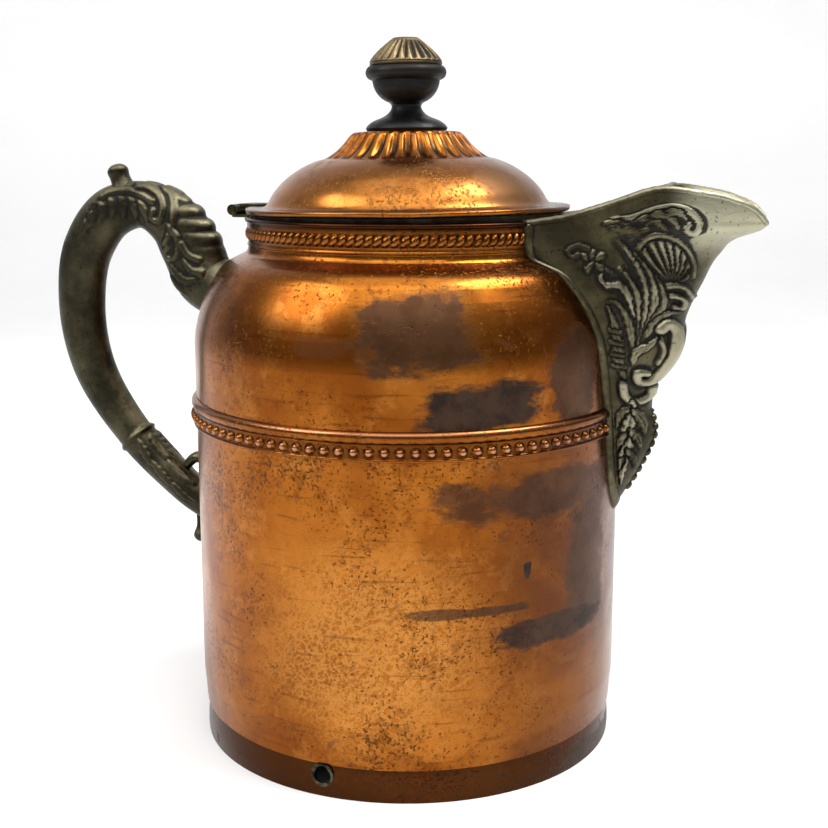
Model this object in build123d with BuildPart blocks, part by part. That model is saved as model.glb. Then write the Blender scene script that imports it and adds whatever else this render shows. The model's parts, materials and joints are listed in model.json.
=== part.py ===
from build123d import *
import math
import os

# Copper coffee pot with a cast spout and handle and a hinged lid.
# Millimetres. The origin is on the pot's axis in the plane it stands on.
# +Z is up, +X points to the spout and -X to the handle.

# Sheet copper body
body_radius = 76.2
sheet = 1.0
seam_height = 117.0
upper_wall = 36.5
base_taper = 0.9
base_taper_height = 12.0
turned_edge = 4.0

# Foot band, hollow under the pot's floor, with one hole that lets its air out
foot_inset = 1.1
foot_height = 11.0
foot_waist = 0.8
foot_hem = 1.6
vent_radius = 3.05
vent_height = 7.4
vent_angle = -95.0
vent_cut_depth = 6.0

# Belt over the body seam: a flat strip below a half-round roll
belt_drop = 2.2
belt_strip_height = 5.6
belt_strip_proud = 0.9
belt_roll_height = 4.2
belt_roll_proud = 1.7

# Shoulder and neck. The shoulder keeps its form as shares of its step in from the body to the neck.
neck_radius = 56.5
crown_share = 0.48
crown_rise_share = 0.873
neck_base_share = 1.1015
ease_share = 0.34
shoulder_bend_share = 1.878
crown_bend_share = 0.609
neck_bend = 3.0
neck_lap = 2.2
sleeve_depth = 5.0
collar_height = 9.8
rope_height = 4.4
rope_proud = 0.9
rope_drop = 5.6
rim_bead_radius = 0.9
rim_bead_proud = 1.2

# Strainer drilled through the upper wall behind the spout
strainer_hole_radius = 1.6
strainer_pitch = 6.0
strainer_rows = 4
strainer_rise = 22.0

# Spout, a hollow casting
spout_wall = 2.2
spout_root = 20.0
bow_share = 0.55
bow_fullness = 0.7
hood_length = 16.0
spout_reach = 48.1
smallest_channel = 6.6

# Handle, a solid casting
curl_radius = 4.2
curl_width = 12.0
ball_radius = 3.0
ball_stem_radius = 1.6
ball_stem_length = 12.0

# Lid hinge
hinge_reach = 7.5
hinge_rise = 1.6
barrel_radius = 1.95
pin_radius = 0.8
pin_clearance = 0.05
knuckle_length = 6.0
knuckle_gap = 0.2
pin_head = 0.6
pin_head_radius = 1.3
leaf_thickness = 1.0
leaf_drop = 8.2
leaf_arc = 18.0
leaf_clearance = 0.35
lid_leaf_width = 14.0
lid_leaf_reach = 13.0
lid_rest_tilt = 0.7

# Lid, drawn about its own axis at the height of the hinge pin
flange_overhang = 0.7
flange_drop = 1.1
flange_top = 1.0
hem_width = 1.6
flange_width = 7.3
dome_foot = 1.2
dome_bulge_share = 0.874
dome_bulge_height = 10.5
dome_crown_share = 0.61
dome_height = 16.4
cone_step = 1.5
cone_top_margin = 3.1
cone_height = 26.0
skirt_clearance = 0.9
skirt_sheet = 0.8
skirt_depth = 6.0

# Knob
knob_foot_radius = 14.4
knob_foot_height = 6.0
knob_foot_edge = 1.0
knob_foot_dish = 3.4
stem_radius = 5.2
stem_height = 11.0
stem_neck = 1.5
stem_flare = 1.4
bowl_radius = 11.8
bowl_height = 12.3
bowl_shrink = 1.1
bowl_share = 0.6
ring_share = 0.78
ring_radius = 14.1
cap_radius = 12.5
cap_height = 9.4
cap_fullness = 0.4
cap_top_radius = 4.5

# Bolt through the knob
bolt_radius = 2.0
bolt_clearance = 0.2
bolt_grip = 5.0
bolt_end = 1.0
washer_radius = 6.0
washer_thickness = 1.0
nut_radius = 4.0
nut_height = 3.0

# Solder run between the neck and the hood
solder_set_out = 1.6
solder_half_width = 2.4
solder_arc = 20.0
lid_stop_gap = 0.35

# Levels and radii worked out from the values above
floor_height = foot_height + sheet
foot_radius = body_radius - foot_inset
shoulder_base = seam_height + upper_wall
shoulder_step = body_radius - neck_radius
crown_radius = neck_radius + crown_share * shoulder_step
crown_rise = crown_rise_share * shoulder_step
neck_base_rise = neck_base_share * shoulder_step
shoulder_ease = ease_share * shoulder_step
shoulder_bend = shoulder_bend_share * shoulder_step
crown_bend = crown_bend_share * shoulder_step
neck_seam = shoulder_base + neck_base_rise + neck_lap
rim_height = neck_seam + collar_height
collar_bore = neck_radius - sheet
belt_base = seam_height - belt_drop
belt_strip_top = belt_base + belt_strip_height
belt_top = belt_strip_top + belt_roll_height

# The spout's slices, from its pointed root up to its lip.
# Each is its height below the neck rim, how far its sides start inside
# the body's radius, its half width there and its keel's reach past that radius.
spout_slices = [
    (103.0, 3.0, 2.5, -1.5),
    (94.5, 1.5, 7.0, 4.0),
    (83.3, 1.4, 11.0, 10.0),
    (72.5, 1.6, 13.5, 13.8),
    (64.0, 1.8, 15.5, 12.3),
    (54.8, 2.3, 18.0, 13.8),
    (44.0, 3.2, 21.0, 20.6),
    (31.6, 5.0, 23.5, 23.0),
    (20.7, 11.0, 26.0, 27.7),
    (11.2, 20.0, 27.5, 32.8),
    (5.8, 26.5, 28.4, 38.4),
    (3.0, 27.0, 28.4, 46.0),
    (-0.5, 27.0, 28.4, spout_reach),
    (-12.0, 27.0, 28.4, spout_reach + 1.0),
]
cavity_slices = [each for each in spout_slices if each[2] > smallest_channel]

# The spout's rim seen from the side, as heights over the neck rim. It starts from points with a reach
# past the neck's radius, the first of them inside the spout's root, and goes on past the body's radius.
spout_rim_start = [
    (-spout_root - 5.3, -2.0),
    (-8.3, -0.9),
    (3.7, 0.7),
]
spout_rim = [
    (-2.0, 4.9),
    (hood_length, 10.2),
    (25.5, 9.2),
    (37.0, 6.7),
    (44.5, 2.9),
    (spout_reach, -1.6),
]

# The handle's stations, from its root in the shoulder round the grip to its lower end.
# Each is its reach past the body's radius, its height over the shoulder's base,
# its half depth in the plane of the handle and its half width across it.
handle_stations = [
    (-13.0, 2.5, 10.0, 9.0),
    (3.0, 9.0, 11.5, 9.5),
    (9.0, 20.5, 11.8, 9.0),
    (15.0, 29.5, 10.6, 8.5),
    (28.0, 36.3, 8.8, 7.5),
    (41.0, 33.6, 9.6, 7.5),
    (52.5, 20.0, 9.8, 7.5),
    (56.6, -1.0, 9.4, 7.0),
    (53.0, -25.0, 8.5, 6.8),
    (38.5, -49.0, 7.2, 6.3),
    (21.0, -66.5, 6.6, 5.8),
    (9.0, -76.0, 6.0, 5.5),
    (-6.0, -83.0, 5.5, 5.0),
]
curl_reach = 38.0
curl_rise = 47.2
ball_reach = 8.6
ball_drop = 91.1

# The hinge pin's place and the lid's frame, tipped open by the rest angle
hinge_x = -(neck_radius + hinge_reach)
hinge_z = rim_height + hinge_rise
tilt = math.radians(lid_rest_tilt)
lid_forward = Vector(math.cos(tilt), 0, math.sin(tilt))
lid_up = Vector(-math.sin(tilt), 0, math.cos(tilt))
hinge_point = Vector(hinge_x, 0, hinge_z)
lid_centre = hinge_point - lid_forward * hinge_x
lid_side = Plane(origin=lid_centre, x_dir=lid_forward, z_dir=(0, -1, 0))
lid_flat = Plane(origin=lid_centre, x_dir=lid_forward, z_dir=lid_up)
lid_axis = Axis(lid_centre, lid_up)
hinge_side = Plane(origin=hinge_point, x_dir=(1, 0, 0), z_dir=(0, -1, 0))
hinge_lid_side = Plane(origin=hinge_point, x_dir=lid_forward, z_dir=(0, -1, 0))

# The solder's top stops a little below the flange at the front of the closed lid
flange_underside = hinge_rise - flange_drop + (2 * neck_radius + hinge_reach) * math.sin(tilt)
solder_height = flange_underside - lid_stop_gap

# The lid's dome runs in from its flange to the cone, which ends just outside the knob's foot
dome_radius = neck_radius - flange_width
dome_bulge_radius = dome_bulge_share * dome_radius
dome_crown_radius = dome_crown_share * dome_radius
cone_radius = dome_crown_radius - cone_step
cone_top_radius = knob_foot_radius + cone_top_margin

# Heights up the lid's axis
knob_base = cone_height
bowl_base = knob_base + stem_height
cap_base = bowl_base + bowl_height
cap_top = cap_base + cap_height
bolt_hole_radius = bolt_radius + bolt_clearance
washer_top = cone_height - sheet
nut_top = washer_top - washer_thickness
bolt_base = nut_top - nut_height - bolt_end
bolt_top = cap_base + bolt_grip


def shoulder_line(top):
    """The pot's outer line from the seam up the wall, round the shoulder to a height on the neck.

    The shoulder's corner is turned in two equal bends, one an ease below it and one an ease beyond it.
    """
    corner = Vector(body_radius, shoulder_base)
    crown = Vector(crown_radius, shoulder_base + crown_rise)
    return FilletPolyline(
        (body_radius, seam_height),
        corner - Vector(0, shoulder_ease),
        corner + (crown - corner).normalized() * shoulder_ease,
        crown,
        (neck_radius, shoulder_base + neck_base_rise),
        (neck_radius, top),
        radius=(shoulder_bend, shoulder_bend, crown_bend, neck_bend),
    )


# Lower body: a cylinder drawn in a little at the bottom, its edge turned in over the floor
with BuildPart() as lower_body:
    with BuildSketch(Plane.XZ):
        with BuildLine():
            Polyline(
                (body_radius - base_taper - turned_edge, floor_height),
                (body_radius - base_taper, floor_height),
                (body_radius, floor_height + base_taper_height),
                (body_radius, seam_height),
            )
            offset(amount=sheet, side=Side.LEFT)
        make_face()
    revolve(axis=Axis.Z)
lower_body.part.label = "lower_body"

# Foot band: a barrelled ring with its lower edge folded in, and the vent hole
with BuildPart() as foot_band:
    with BuildSketch(Plane.XZ):
        with BuildLine():
            Polyline((foot_radius - sheet - foot_hem, 0), (foot_radius, 0))
            ThreePointArc(
                (foot_radius, 0),
                (foot_radius, foot_height / 2),
                (foot_radius - foot_waist, foot_height),
            )
            Polyline(
                (foot_radius - foot_waist, foot_height),
                (foot_radius - foot_waist - sheet, foot_height),
                (foot_radius - sheet, foot_height / 2),
                (foot_radius - sheet, sheet),
                (foot_radius - sheet - foot_hem, sheet),
                (foot_radius - sheet - foot_hem, 0),
            )
        make_face()
    revolve(axis=Axis.Z)
    vent_plane = Plane.YZ.rotated((0, 0, vent_angle)).offset(foot_radius - vent_cut_depth / 2)
    with BuildSketch(vent_plane):
        with Locations((0, vent_height)):
            Circle(vent_radius)
    extrude(amount=vent_cut_depth, mode=Mode.SUBTRACT)
foot_band.part.label = "foot_band"

# The pot's floor, laid on the foot band under the body's turned edge
with BuildPart() as bottom_plate:
    with BuildSketch(Plane.XY.offset(foot_height)):
        Circle(foot_radius - foot_waist)
    extrude(amount=sheet)
bottom_plate.part.label = "bottom_plate"

# Shoulder shell: the upper wall, the shoulder and the stub of the neck
with BuildPart() as shoulder_shell:
    with BuildSketch(Plane.XZ):
        with BuildLine():
            shoulder_line(neck_seam)
            offset(amount=sheet, side=Side.LEFT)
        make_face()
    revolve(axis=Axis.Z)
    strainer_centre = (0, 0, seam_height + strainer_rise)
    with BuildSketch(Plane(origin=strainer_centre, x_dir=(0, 1, 0), z_dir=(1, 0, 0))):
        with GridLocations(strainer_pitch, strainer_pitch, strainer_rows, strainer_rows):
            Circle(strainer_hole_radius)
    extrude(amount=body_radius + sheet, mode=Mode.SUBTRACT)
shoulder_shell.part.label = "shoulder_shell"

# Belt band: a stamped moulding soldered round the seam
with BuildPart() as belt_band:
    with BuildSketch(Plane.XZ):
        with BuildLine():
            Polyline(
                (body_radius, belt_top),
                (body_radius, belt_base),
                (body_radius + belt_strip_proud, belt_base),
                (body_radius + belt_strip_proud, belt_strip_top),
            )
            ThreePointArc(
                (body_radius + belt_strip_proud, belt_strip_top),
                (body_radius + belt_roll_proud, belt_strip_top + belt_roll_height / 2),
                (body_radius, belt_top),
            )
        make_face()
    revolve(axis=Axis.Z)
belt_band.part.label = "belt_band"

# Neck collar: a sleeve inside the neck's stub, the wall above it, the rope band and the rim's bead
with BuildPart() as neck_collar:
    with BuildSketch(Plane.XZ):
        with Locations((collar_bore - sheet, neck_seam - sleeve_depth)):
            Rectangle(sheet, sleeve_depth + sheet, align=Align.MIN)
        with Locations((collar_bore - sheet, neck_seam)):
            Rectangle(2 * sheet, sheet, align=Align.MIN)
        with Locations((collar_bore, neck_seam)):
            Rectangle(sheet, collar_height - rim_bead_radius, align=Align.MIN)
        with Locations((neck_radius, rim_height - rope_drop)):
            Ellipse(rope_proud, rope_height / 2)
        with Locations((neck_radius + rim_bead_proud - rim_bead_radius, rim_height - rim_bead_radius)):
            Circle(rim_bead_radius)
    revolve(axis=Axis.Z)
neck_collar.part.label = "neck_collar"

# The outside of the whole pot as one filled form, which the castings are fitted against
with BuildPart() as pot_form:
    with BuildSketch(Plane.XZ):
        with BuildLine():
            outside = shoulder_line(rim_height)
            foot = (body_radius, floor_height)
            Polyline(outside @ 1, (0, rim_height), (0, floor_height), foot, outside @ 0)
        make_face()
    revolve(axis=Axis.Z)
    add(belt_band.part)
    add(neck_collar.part)


def spout_slice(drop, inset, half_width, reach, wall):
    """One level slice of the spout, drawn in by a wall: straight inside the pot, bowed round the keel."""
    start = body_radius - inset
    keel = body_radius + reach - wall
    side = half_width - wall
    cheek = start + bow_share * (keel - start)
    with BuildSketch(Plane.XY.offset(rim_height - drop)) as outline:
        with BuildLine():
            bow = Spline(
                (start, -side),
                (cheek, -bow_fullness * side),
                (keel, 0),
                (cheek, bow_fullness * side),
                (start, side),
            )
            Polyline(bow @ 1, (neck_radius - spout_root, side), (neck_radius - spout_root, -side), bow @ 0)
        make_face()
    return outline.sketch


def over_rim(drop, end):
    """Side profile of the space over the spout's rim, or over a line that far below it, up to a reach."""
    with BuildSketch(Plane.XZ) as profile:
        with BuildLine():
            start = [(neck_radius + reach, rim_height + rise - drop) for reach, rise in spout_rim_start]
            rest = [(body_radius + reach, rim_height + rise - drop) for reach, rise in spout_rim]
            rim = Spline(start + rest)
            far = rim @ 1 + Vector(2 * hood_length, 0)
            above = Vector(0, 3 * hood_length)
            Polyline(rim @ 1, far, far + above, rim @ 0 + above, rim @ 0)
        make_face()
        with Locations((body_radius + end, rim_height)):
            Rectangle(2 * body_radius, 2 * body_radius, align=(Align.MAX, Align.CENTER), mode=Mode.INTERSECT)
    return profile.sketch


# What the spout holds: a channel under the hood that opens out over the lip
with BuildPart() as spout_channel:
    loft([spout_slice(*each, spout_wall) for each in cavity_slices], ruled=True)
    extrude(over_rim(spout_wall, hood_length), amount=body_radius, both=True, mode=Mode.SUBTRACT)

# Spout: slices lofted up to the lip, cut off along the rim and hollowed
with BuildPart() as spout:
    loft([spout_slice(*each, 0) for each in spout_slices], ruled=True)
    extrude(over_rim(0, 2 * spout_reach), amount=body_radius, both=True, mode=Mode.SUBTRACT)
    add(spout_channel.part, mode=Mode.SUBTRACT)
    add(pot_form.part, mode=Mode.SUBTRACT)
spout.part.label = "spout"

# Solder run between the neck rim and the spout's hood, on which the lid comes to rest
with BuildPart() as spout_solder:
    with BuildSketch(Plane.XZ):
        with Locations((neck_radius + solder_set_out, rim_height)):
            Ellipse(solder_half_width, solder_height)
            below = (Align.CENTER, Align.MAX)
            Rectangle(2 * solder_half_width, solder_height, align=below, mode=Mode.SUBTRACT)
    revolve(axis=Axis.Z, revolution_arc=solder_arc / 2)
    mirror(about=Plane.XZ)
    add(spout.part, mode=Mode.SUBTRACT)
    add(pot_form.part, mode=Mode.SUBTRACT)
spout_solder.part.label = "spout_solder"

# Handle: one tapered oval bar from the shoulder round the grip to the wall,
# with a scroll for the thumb on top and a small ball below
with BuildPart() as handle:
    spine = [
        Vector(-body_radius - reach, 0, shoulder_base + rise)
        for reach, rise, half_depth, half_width in handle_stations
    ]
    ends = [spine[0]] + spine + [spine[-1]]
    for index, (reach, rise, half_depth, half_width) in enumerate(handle_stations):
        along = ends[index + 2] - ends[index]
        with BuildSketch(Plane(origin=spine[index], x_dir=(0, 1, 0), z_dir=along)):
            Ellipse(half_width, half_depth)
    loft()
    curl_centre = (-body_radius - curl_reach, 0, shoulder_base + curl_rise)
    with BuildSketch(Plane(origin=curl_centre, x_dir=(1, 0, 0), z_dir=(0, -1, 0))):
        Circle(curl_radius)
    extrude(amount=curl_width / 2, both=True)
    ball_centre = (-body_radius - ball_reach, 0, shoulder_base - ball_drop)
    with BuildSketch(Plane(origin=ball_centre, x_dir=(1, 0, 0), z_dir=(0, 0, 1))):
        Circle(ball_stem_radius)
    extrude(amount=ball_stem_length)
    with Locations(ball_centre):
        Sphere(ball_radius)
    add(pot_form.part, mode=Mode.SUBTRACT)
handle.part.label = "handle"

# Neck leaf of the hinge: a strip formed over the collar, a bridge and two knuckles
with BuildPart() as hinge_neck_leaf:
    with BuildSketch(Plane.XZ):
        with Locations((-neck_radius - rim_bead_proud - leaf_thickness, rim_height - leaf_drop)):
            Rectangle(rim_bead_radius + leaf_thickness, leaf_drop, align=Align.MIN)
    revolve(axis=Axis.Z, revolution_arc=leaf_arc / 2)
    mirror(about=Plane.XZ)
    with BuildSketch(hinge_side):
        with Locations((0, -hinge_rise)):
            Rectangle(hinge_reach - rim_bead_proud, leaf_thickness, align=(Align.MIN, Align.MAX))
        Circle(barrel_radius)
        Circle(pin_radius + pin_clearance, mode=Mode.SUBTRACT)
    extrude(amount=1.5 * knuckle_length, both=True)
    with BuildSketch(hinge_side):
        Circle(barrel_radius + leaf_clearance)
    extrude(amount=knuckle_length / 2, both=True, mode=Mode.SUBTRACT)
    add(neck_collar.part, mode=Mode.SUBTRACT)
hinge_neck_leaf.part.label = "hinge_neck_leaf"

# Lid leaf of the hinge: one knuckle, a tongue and a plate soldered on the flange
with BuildPart() as hinge_lid_leaf:
    with BuildSketch(hinge_lid_side):
        with Locations((0, flange_top)):
            Rectangle(lid_leaf_reach, leaf_thickness, align=Align.MIN)
        Circle(barrel_radius)
        Circle(pin_radius + pin_clearance, mode=Mode.SUBTRACT)
    extrude(amount=knuckle_length / 2 - knuckle_gap, both=True)
    with BuildSketch(hinge_lid_side):
        with Locations((barrel_radius + leaf_clearance, flange_top)):
            Rectangle(lid_leaf_reach - barrel_radius - leaf_clearance, leaf_thickness, align=Align.MIN)
    extrude(amount=lid_leaf_width / 2, both=True)
hinge_lid_leaf.part.label = "hinge_lid_leaf"

# Hinge pin with its ends peened over the outer knuckles
with BuildPart() as hinge_pin:
    with BuildSketch(hinge_side):
        Circle(pin_radius)
    extrude(amount=1.5 * knuckle_length, both=True)
    for end in (-1.5 * knuckle_length - pin_head, 1.5 * knuckle_length):
        with BuildSketch(hinge_side.offset(end)):
            Circle(pin_head_radius)
        extrude(amount=pin_head)
hinge_pin.part.label = "hinge_pin"

# Lid shell: hemmed flange, dome and fluted cone of one spun sheet
with BuildPart() as lid_shell:
    with BuildSketch(lid_side):
        with BuildLine():
            Polyline(
                (neck_radius - hem_width, flange_top),
                (dome_radius + dome_foot, flange_top),
                (dome_radius, flange_top + dome_foot),
            )
            ThreePointArc(
                (dome_radius, flange_top + dome_foot),
                (dome_bulge_radius, dome_bulge_height),
                (dome_crown_radius, dome_height),
            )
            Polyline(
                (dome_crown_radius, dome_height),
                (cone_radius, dome_height + sheet),
                (cone_top_radius, cone_height),
                (bolt_hole_radius, cone_height),
            )
            offset(amount=sheet, side=Side.LEFT)
        make_face()
        with Locations((neck_radius + flange_overhang, flange_top)):
            Rectangle(hem_width + flange_overhang, flange_top + flange_drop, align=Align.MAX)
    revolve(axis=lid_axis)
lid_shell.part.label = "lid_shell"

# Lid skirt: the ring under the flange that drops into the neck
with BuildPart() as lid_skirt:
    with BuildSketch(lid_flat.offset(flange_top - sheet - skirt_depth)):
        Circle(collar_bore - skirt_clearance)
        Circle(collar_bore - skirt_clearance - skirt_sheet, mode=Mode.SUBTRACT)
    extrude(amount=skirt_depth)
lid_skirt.part.label = "lid_skirt"

# Knob foot: a turned disc and its stem
with BuildPart() as knob_foot:
    with BuildSketch(lid_side):
        with BuildLine():
            Polyline(
                (bolt_hole_radius, bowl_base),
                (bolt_hole_radius, knob_base),
                (knob_foot_radius - knob_foot_edge, knob_base),
                (knob_foot_radius, knob_base + knob_foot_height / 3),
            )
            Spline(
                (knob_foot_radius, knob_base + knob_foot_height / 3),
                (knob_foot_radius - knob_foot_dish, knob_base + 0.8 * knob_foot_height),
                (stem_radius + stem_flare, knob_base + knob_foot_height + knob_foot_edge),
                (stem_radius, bowl_base - stem_neck),
                (stem_radius + stem_flare, bowl_base),
            )
            Line((stem_radius + stem_flare, bowl_base), (bolt_hole_radius, bowl_base))
        make_face()
    revolve(axis=lid_axis)
knob_foot.part.label = "knob_foot"

# Knob bowl: a turned cup shape with a ring round its top
with BuildPart() as knob_bowl:
    with BuildSketch(lid_side):
        with BuildLine():
            Polyline(
                (cap_radius, cap_base),
                (bolt_hole_radius, cap_base),
                (bolt_hole_radius, bowl_base),
                (stem_radius + stem_flare, bowl_base),
            )
            ThreePointArc(
                (stem_radius + stem_flare, bowl_base),
                (bowl_radius - bowl_shrink, bowl_base + bowl_share * bowl_height / 2),
                (bowl_radius, bowl_base + bowl_share * bowl_height),
            )
            ThreePointArc(
                (bowl_radius, bowl_base + bowl_share * bowl_height),
                (ring_radius, bowl_base + ring_share * bowl_height),
                (cap_radius, cap_base),
            )
        make_face()
    revolve(axis=lid_axis)
knob_bowl.part.label = "knob_bowl"

# Knob cap: a cast dome with a flat top, threaded on the bolt
with BuildPart() as knob_cap:
    with BuildSketch(lid_side):
        with BuildLine():
            ThreePointArc(
                (cap_radius, cap_base),
                ((cap_radius + cap_top_radius) / 2 + cap_fullness, (cap_base + cap_top) / 2),
                (cap_top_radius, cap_top),
            )
            Polyline(
                (cap_top_radius, cap_top),
                (0, cap_top),
                (0, bolt_top),
                (bolt_radius, bolt_top),
                (bolt_radius, cap_base),
                (cap_radius, cap_base),
            )
        make_face()
    revolve(axis=lid_axis)
knob_cap.part.label = "knob_cap"

# Bolt from inside the lid up into the cap
with BuildPart() as knob_bolt:
    with BuildSketch(lid_flat.offset(bolt_base)):
        Circle(bolt_radius)
    extrude(amount=bolt_top - bolt_base)
knob_bolt.part.label = "knob_bolt"

# Washer and nut under the lid
with BuildPart() as knob_washer:
    with BuildSketch(lid_flat.offset(nut_top)):
        Circle(washer_radius)
        Circle(bolt_hole_radius, mode=Mode.SUBTRACT)
    extrude(amount=washer_thickness)
knob_washer.part.label = "knob_washer"

with BuildPart() as knob_nut:
    with BuildSketch(lid_flat.offset(nut_top - nut_height)):
        RegularPolygon(nut_radius, 6)
        Circle(bolt_radius, mode=Mode.SUBTRACT)
    extrude(amount=nut_height)
knob_nut.part.label = "knob_nut"

os.makedirs("parts", exist_ok=True)
pieces = [
    lower_body,
    foot_band,
    bottom_plate,
    shoulder_shell,
    belt_band,
    neck_collar,
    spout,
    spout_solder,
    handle,
    hinge_neck_leaf,
    hinge_lid_leaf,
    hinge_pin,
    lid_shell,
    lid_skirt,
    knob_foot,
    knob_bowl,
    knob_cap,
    knob_bolt,
    knob_washer,
    knob_nut,
]
for piece in pieces:
    export_step(piece.part, f"parts/{piece.part.label}.step")
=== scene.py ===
"""An old copper coffee pot with a cast white-metal spout and handle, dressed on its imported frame.

+X points to the spout, -X to the handle and +Z up. Sizes are in millimetres unless a name says otherwise.
"""

import json
import math

import bmesh
import bpy
import numpy as np
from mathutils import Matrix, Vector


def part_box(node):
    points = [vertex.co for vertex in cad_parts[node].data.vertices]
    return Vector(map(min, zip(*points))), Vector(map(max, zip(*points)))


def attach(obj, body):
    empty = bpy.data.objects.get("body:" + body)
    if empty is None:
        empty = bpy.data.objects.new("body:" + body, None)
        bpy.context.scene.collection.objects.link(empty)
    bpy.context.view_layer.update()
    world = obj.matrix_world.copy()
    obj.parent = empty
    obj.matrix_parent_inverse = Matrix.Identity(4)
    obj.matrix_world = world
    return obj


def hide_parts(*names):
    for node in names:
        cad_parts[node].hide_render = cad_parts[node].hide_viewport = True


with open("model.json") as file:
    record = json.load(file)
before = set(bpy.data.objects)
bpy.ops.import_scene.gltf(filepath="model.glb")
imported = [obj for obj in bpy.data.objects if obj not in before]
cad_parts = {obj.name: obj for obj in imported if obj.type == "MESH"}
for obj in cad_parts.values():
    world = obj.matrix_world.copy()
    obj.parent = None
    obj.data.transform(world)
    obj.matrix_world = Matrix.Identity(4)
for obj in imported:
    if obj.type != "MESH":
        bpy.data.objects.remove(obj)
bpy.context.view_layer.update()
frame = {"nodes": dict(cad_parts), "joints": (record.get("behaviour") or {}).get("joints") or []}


# The studio: a pale floor that sweeps up into a pale wall, under soft lights, and the camera.
# The wall and floor are one painted sheet, so that no corner shows behind the pot.
def surface(name, points, wrap_rows=False, wrap_columns=False):
    """Makes a mesh object from a grid of points in millimetres, rows by columns.

    A wrapped direction joins its last line to its first.
    """
    rows, columns = points.shape[:2]
    row = np.arange(rows if wrap_rows else rows - 1)[:, None]
    column = np.arange(columns if wrap_columns else columns - 1)[None, :]
    next_row = (row + 1) % rows
    next_column = (column + 1) % columns
    corners = (
        row * columns + column,
        row * columns + next_column,
        next_row * columns + next_column,
        next_row * columns + column,
    )
    quads = np.stack([corner.ravel() for corner in corners], axis=1)
    mesh = bpy.data.meshes.new(name)
    mesh.vertices.add(rows * columns)
    mesh.vertices.foreach_set("co", points.reshape(-1) / 1000.0)
    mesh.loops.add(quads.size)
    mesh.loops.foreach_set("vertex_index", quads.ravel())
    mesh.polygons.add(len(quads))
    mesh.polygons.foreach_set("loop_start", np.arange(0, quads.size, 4))
    mesh.polygons.foreach_set("use_smooth", np.ones(len(quads), dtype=bool))
    mesh.update(calc_edges=True)
    mesh.validate()
    made = bpy.data.objects.new(name, mesh)
    bpy.context.scene.collection.objects.link(made)
    return made


def close_up(piece):
    """Merges a grid's doubled points, fills its open ends and turns its faces outwards."""
    shell = bmesh.new()
    shell.from_mesh(piece.data)
    bmesh.ops.remove_doubles(shell, verts=shell.verts, dist=2e-7)
    bmesh.ops.holes_fill(shell, edges=[edge for edge in shell.edges if edge.is_boundary], sides=0)
    bmesh.ops.recalc_face_normals(shell, faces=shell.faces)
    shell.to_mesh(piece.data)
    shell.free()


def node(tree, kind, inputs=None, stops=None, **settings):
    """Adds a shader node with its settings. Each input is a value, a hex colour, or another node or output.

    A node given as an input stands for its first output. Stops are a colour ramp's places and hex colours.
    """
    made = tree.nodes.new("ShaderNode" + kind)
    for name, value in settings.items():
        setattr(made, name, value)
    for socket, value in (inputs or {}).items():
        if isinstance(value, bpy.types.Node):
            value = value.outputs[0]
        if isinstance(value, bpy.types.NodeSocket):
            tree.links.new(value, made.inputs[socket])
        else:
            made.inputs[socket].default_value = linear(value) if isinstance(value, str) else value
    if stops:
        while len(made.color_ramp.elements) < len(stops):
            made.color_ramp.elements.new(1.0)
        for element, (place, colour) in zip(made.color_ramp.elements, stops):
            element.position = place
            element.color = linear(colour)
    return made


def linear(colour):
    """Turns an sRGB hex colour to linear red, green, blue and alpha."""
    parts = [int(colour[start : start + 2], 16) / 255 for start in (1, 3, 5)]
    lights = [part / 12.92 if part <= 0.04045 else ((part + 0.055) / 1.055) ** 2.4 for part in parts]
    return (*lights, 1.0)


def new_material(name):
    """Starts an empty node material and returns it with its tree."""
    made = bpy.data.materials.new(name)
    made.use_nodes = True
    made.node_tree.nodes.clear()
    return made, made.node_tree


def finish_material(tree, inputs):
    """Ends a material in one Principled surface with these inputs."""
    shader = node(tree, "BsdfPrincipled", inputs)
    node(tree, "OutputMaterial", {"Surface": shader})


# Matt paint: white with a faint unevenness. It glows a little up the wall, and not on the floor.
paint_lump, glow_height, glow_strength = 25.0, 0.3, 0.18
painted_sheet, tree = new_material("matt_white_paint")
grain = node(tree, "TexNoise", {"Scale": 1000.0 / paint_lump, "Detail": 2.0})
paint = node(tree, "ValToRGB", {0: grain}, stops=[(0.3, "#f4f4f4"), (0.7, "#f8f8f8")])
sheet_place = node(tree, "TexCoord").outputs["Object"]
sheet_height = node(tree, "SeparateXYZ", {0: sheet_place}).outputs["Z"]
glow = node(tree, "MapRange", {0: sheet_height, 1: 0.0, 2: glow_height, 3: 0.0, 4: glow_strength})
finish_material(
    tree,
    {
        "Base Color": paint,
        "Roughness": 0.9,
        "Specular IOR Level": 0.1,
        "Emission Color": "#ffffff",
        "Emission Strength": glow,
    },
)

front_reach, floor_reach, sweep_radius, wall_top, half_width = 4000.0, 1100.0, 900.0, 3200.0, 4000.0
sweep_angle = np.linspace(0, math.pi / 2, 24)
curve_out = floor_reach + sweep_radius * np.sin(sweep_angle)
curve_up = sweep_radius * (1 - np.cos(sweep_angle))
sweep_out = np.concatenate([[-front_reach], curve_out, [floor_reach + sweep_radius]])
sweep_up = np.concatenate([[0.0], curve_up, [wall_top]])
sideways = np.array([-half_width, half_width])
view_turn = math.radians(17.0)
backdrop_points = np.stack(
    [
        sideways[:, None] * math.cos(view_turn) - sweep_out[None, :] * math.sin(view_turn),
        sideways[:, None] * math.sin(view_turn) + sweep_out[None, :] * math.cos(view_turn),
        np.broadcast_to(sweep_up, (2, len(sweep_up))),
    ],
    axis=-1,
)
backdrop = surface("studio_sweep", backdrop_points)
backdrop.data.materials.append(painted_sheet)

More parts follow.
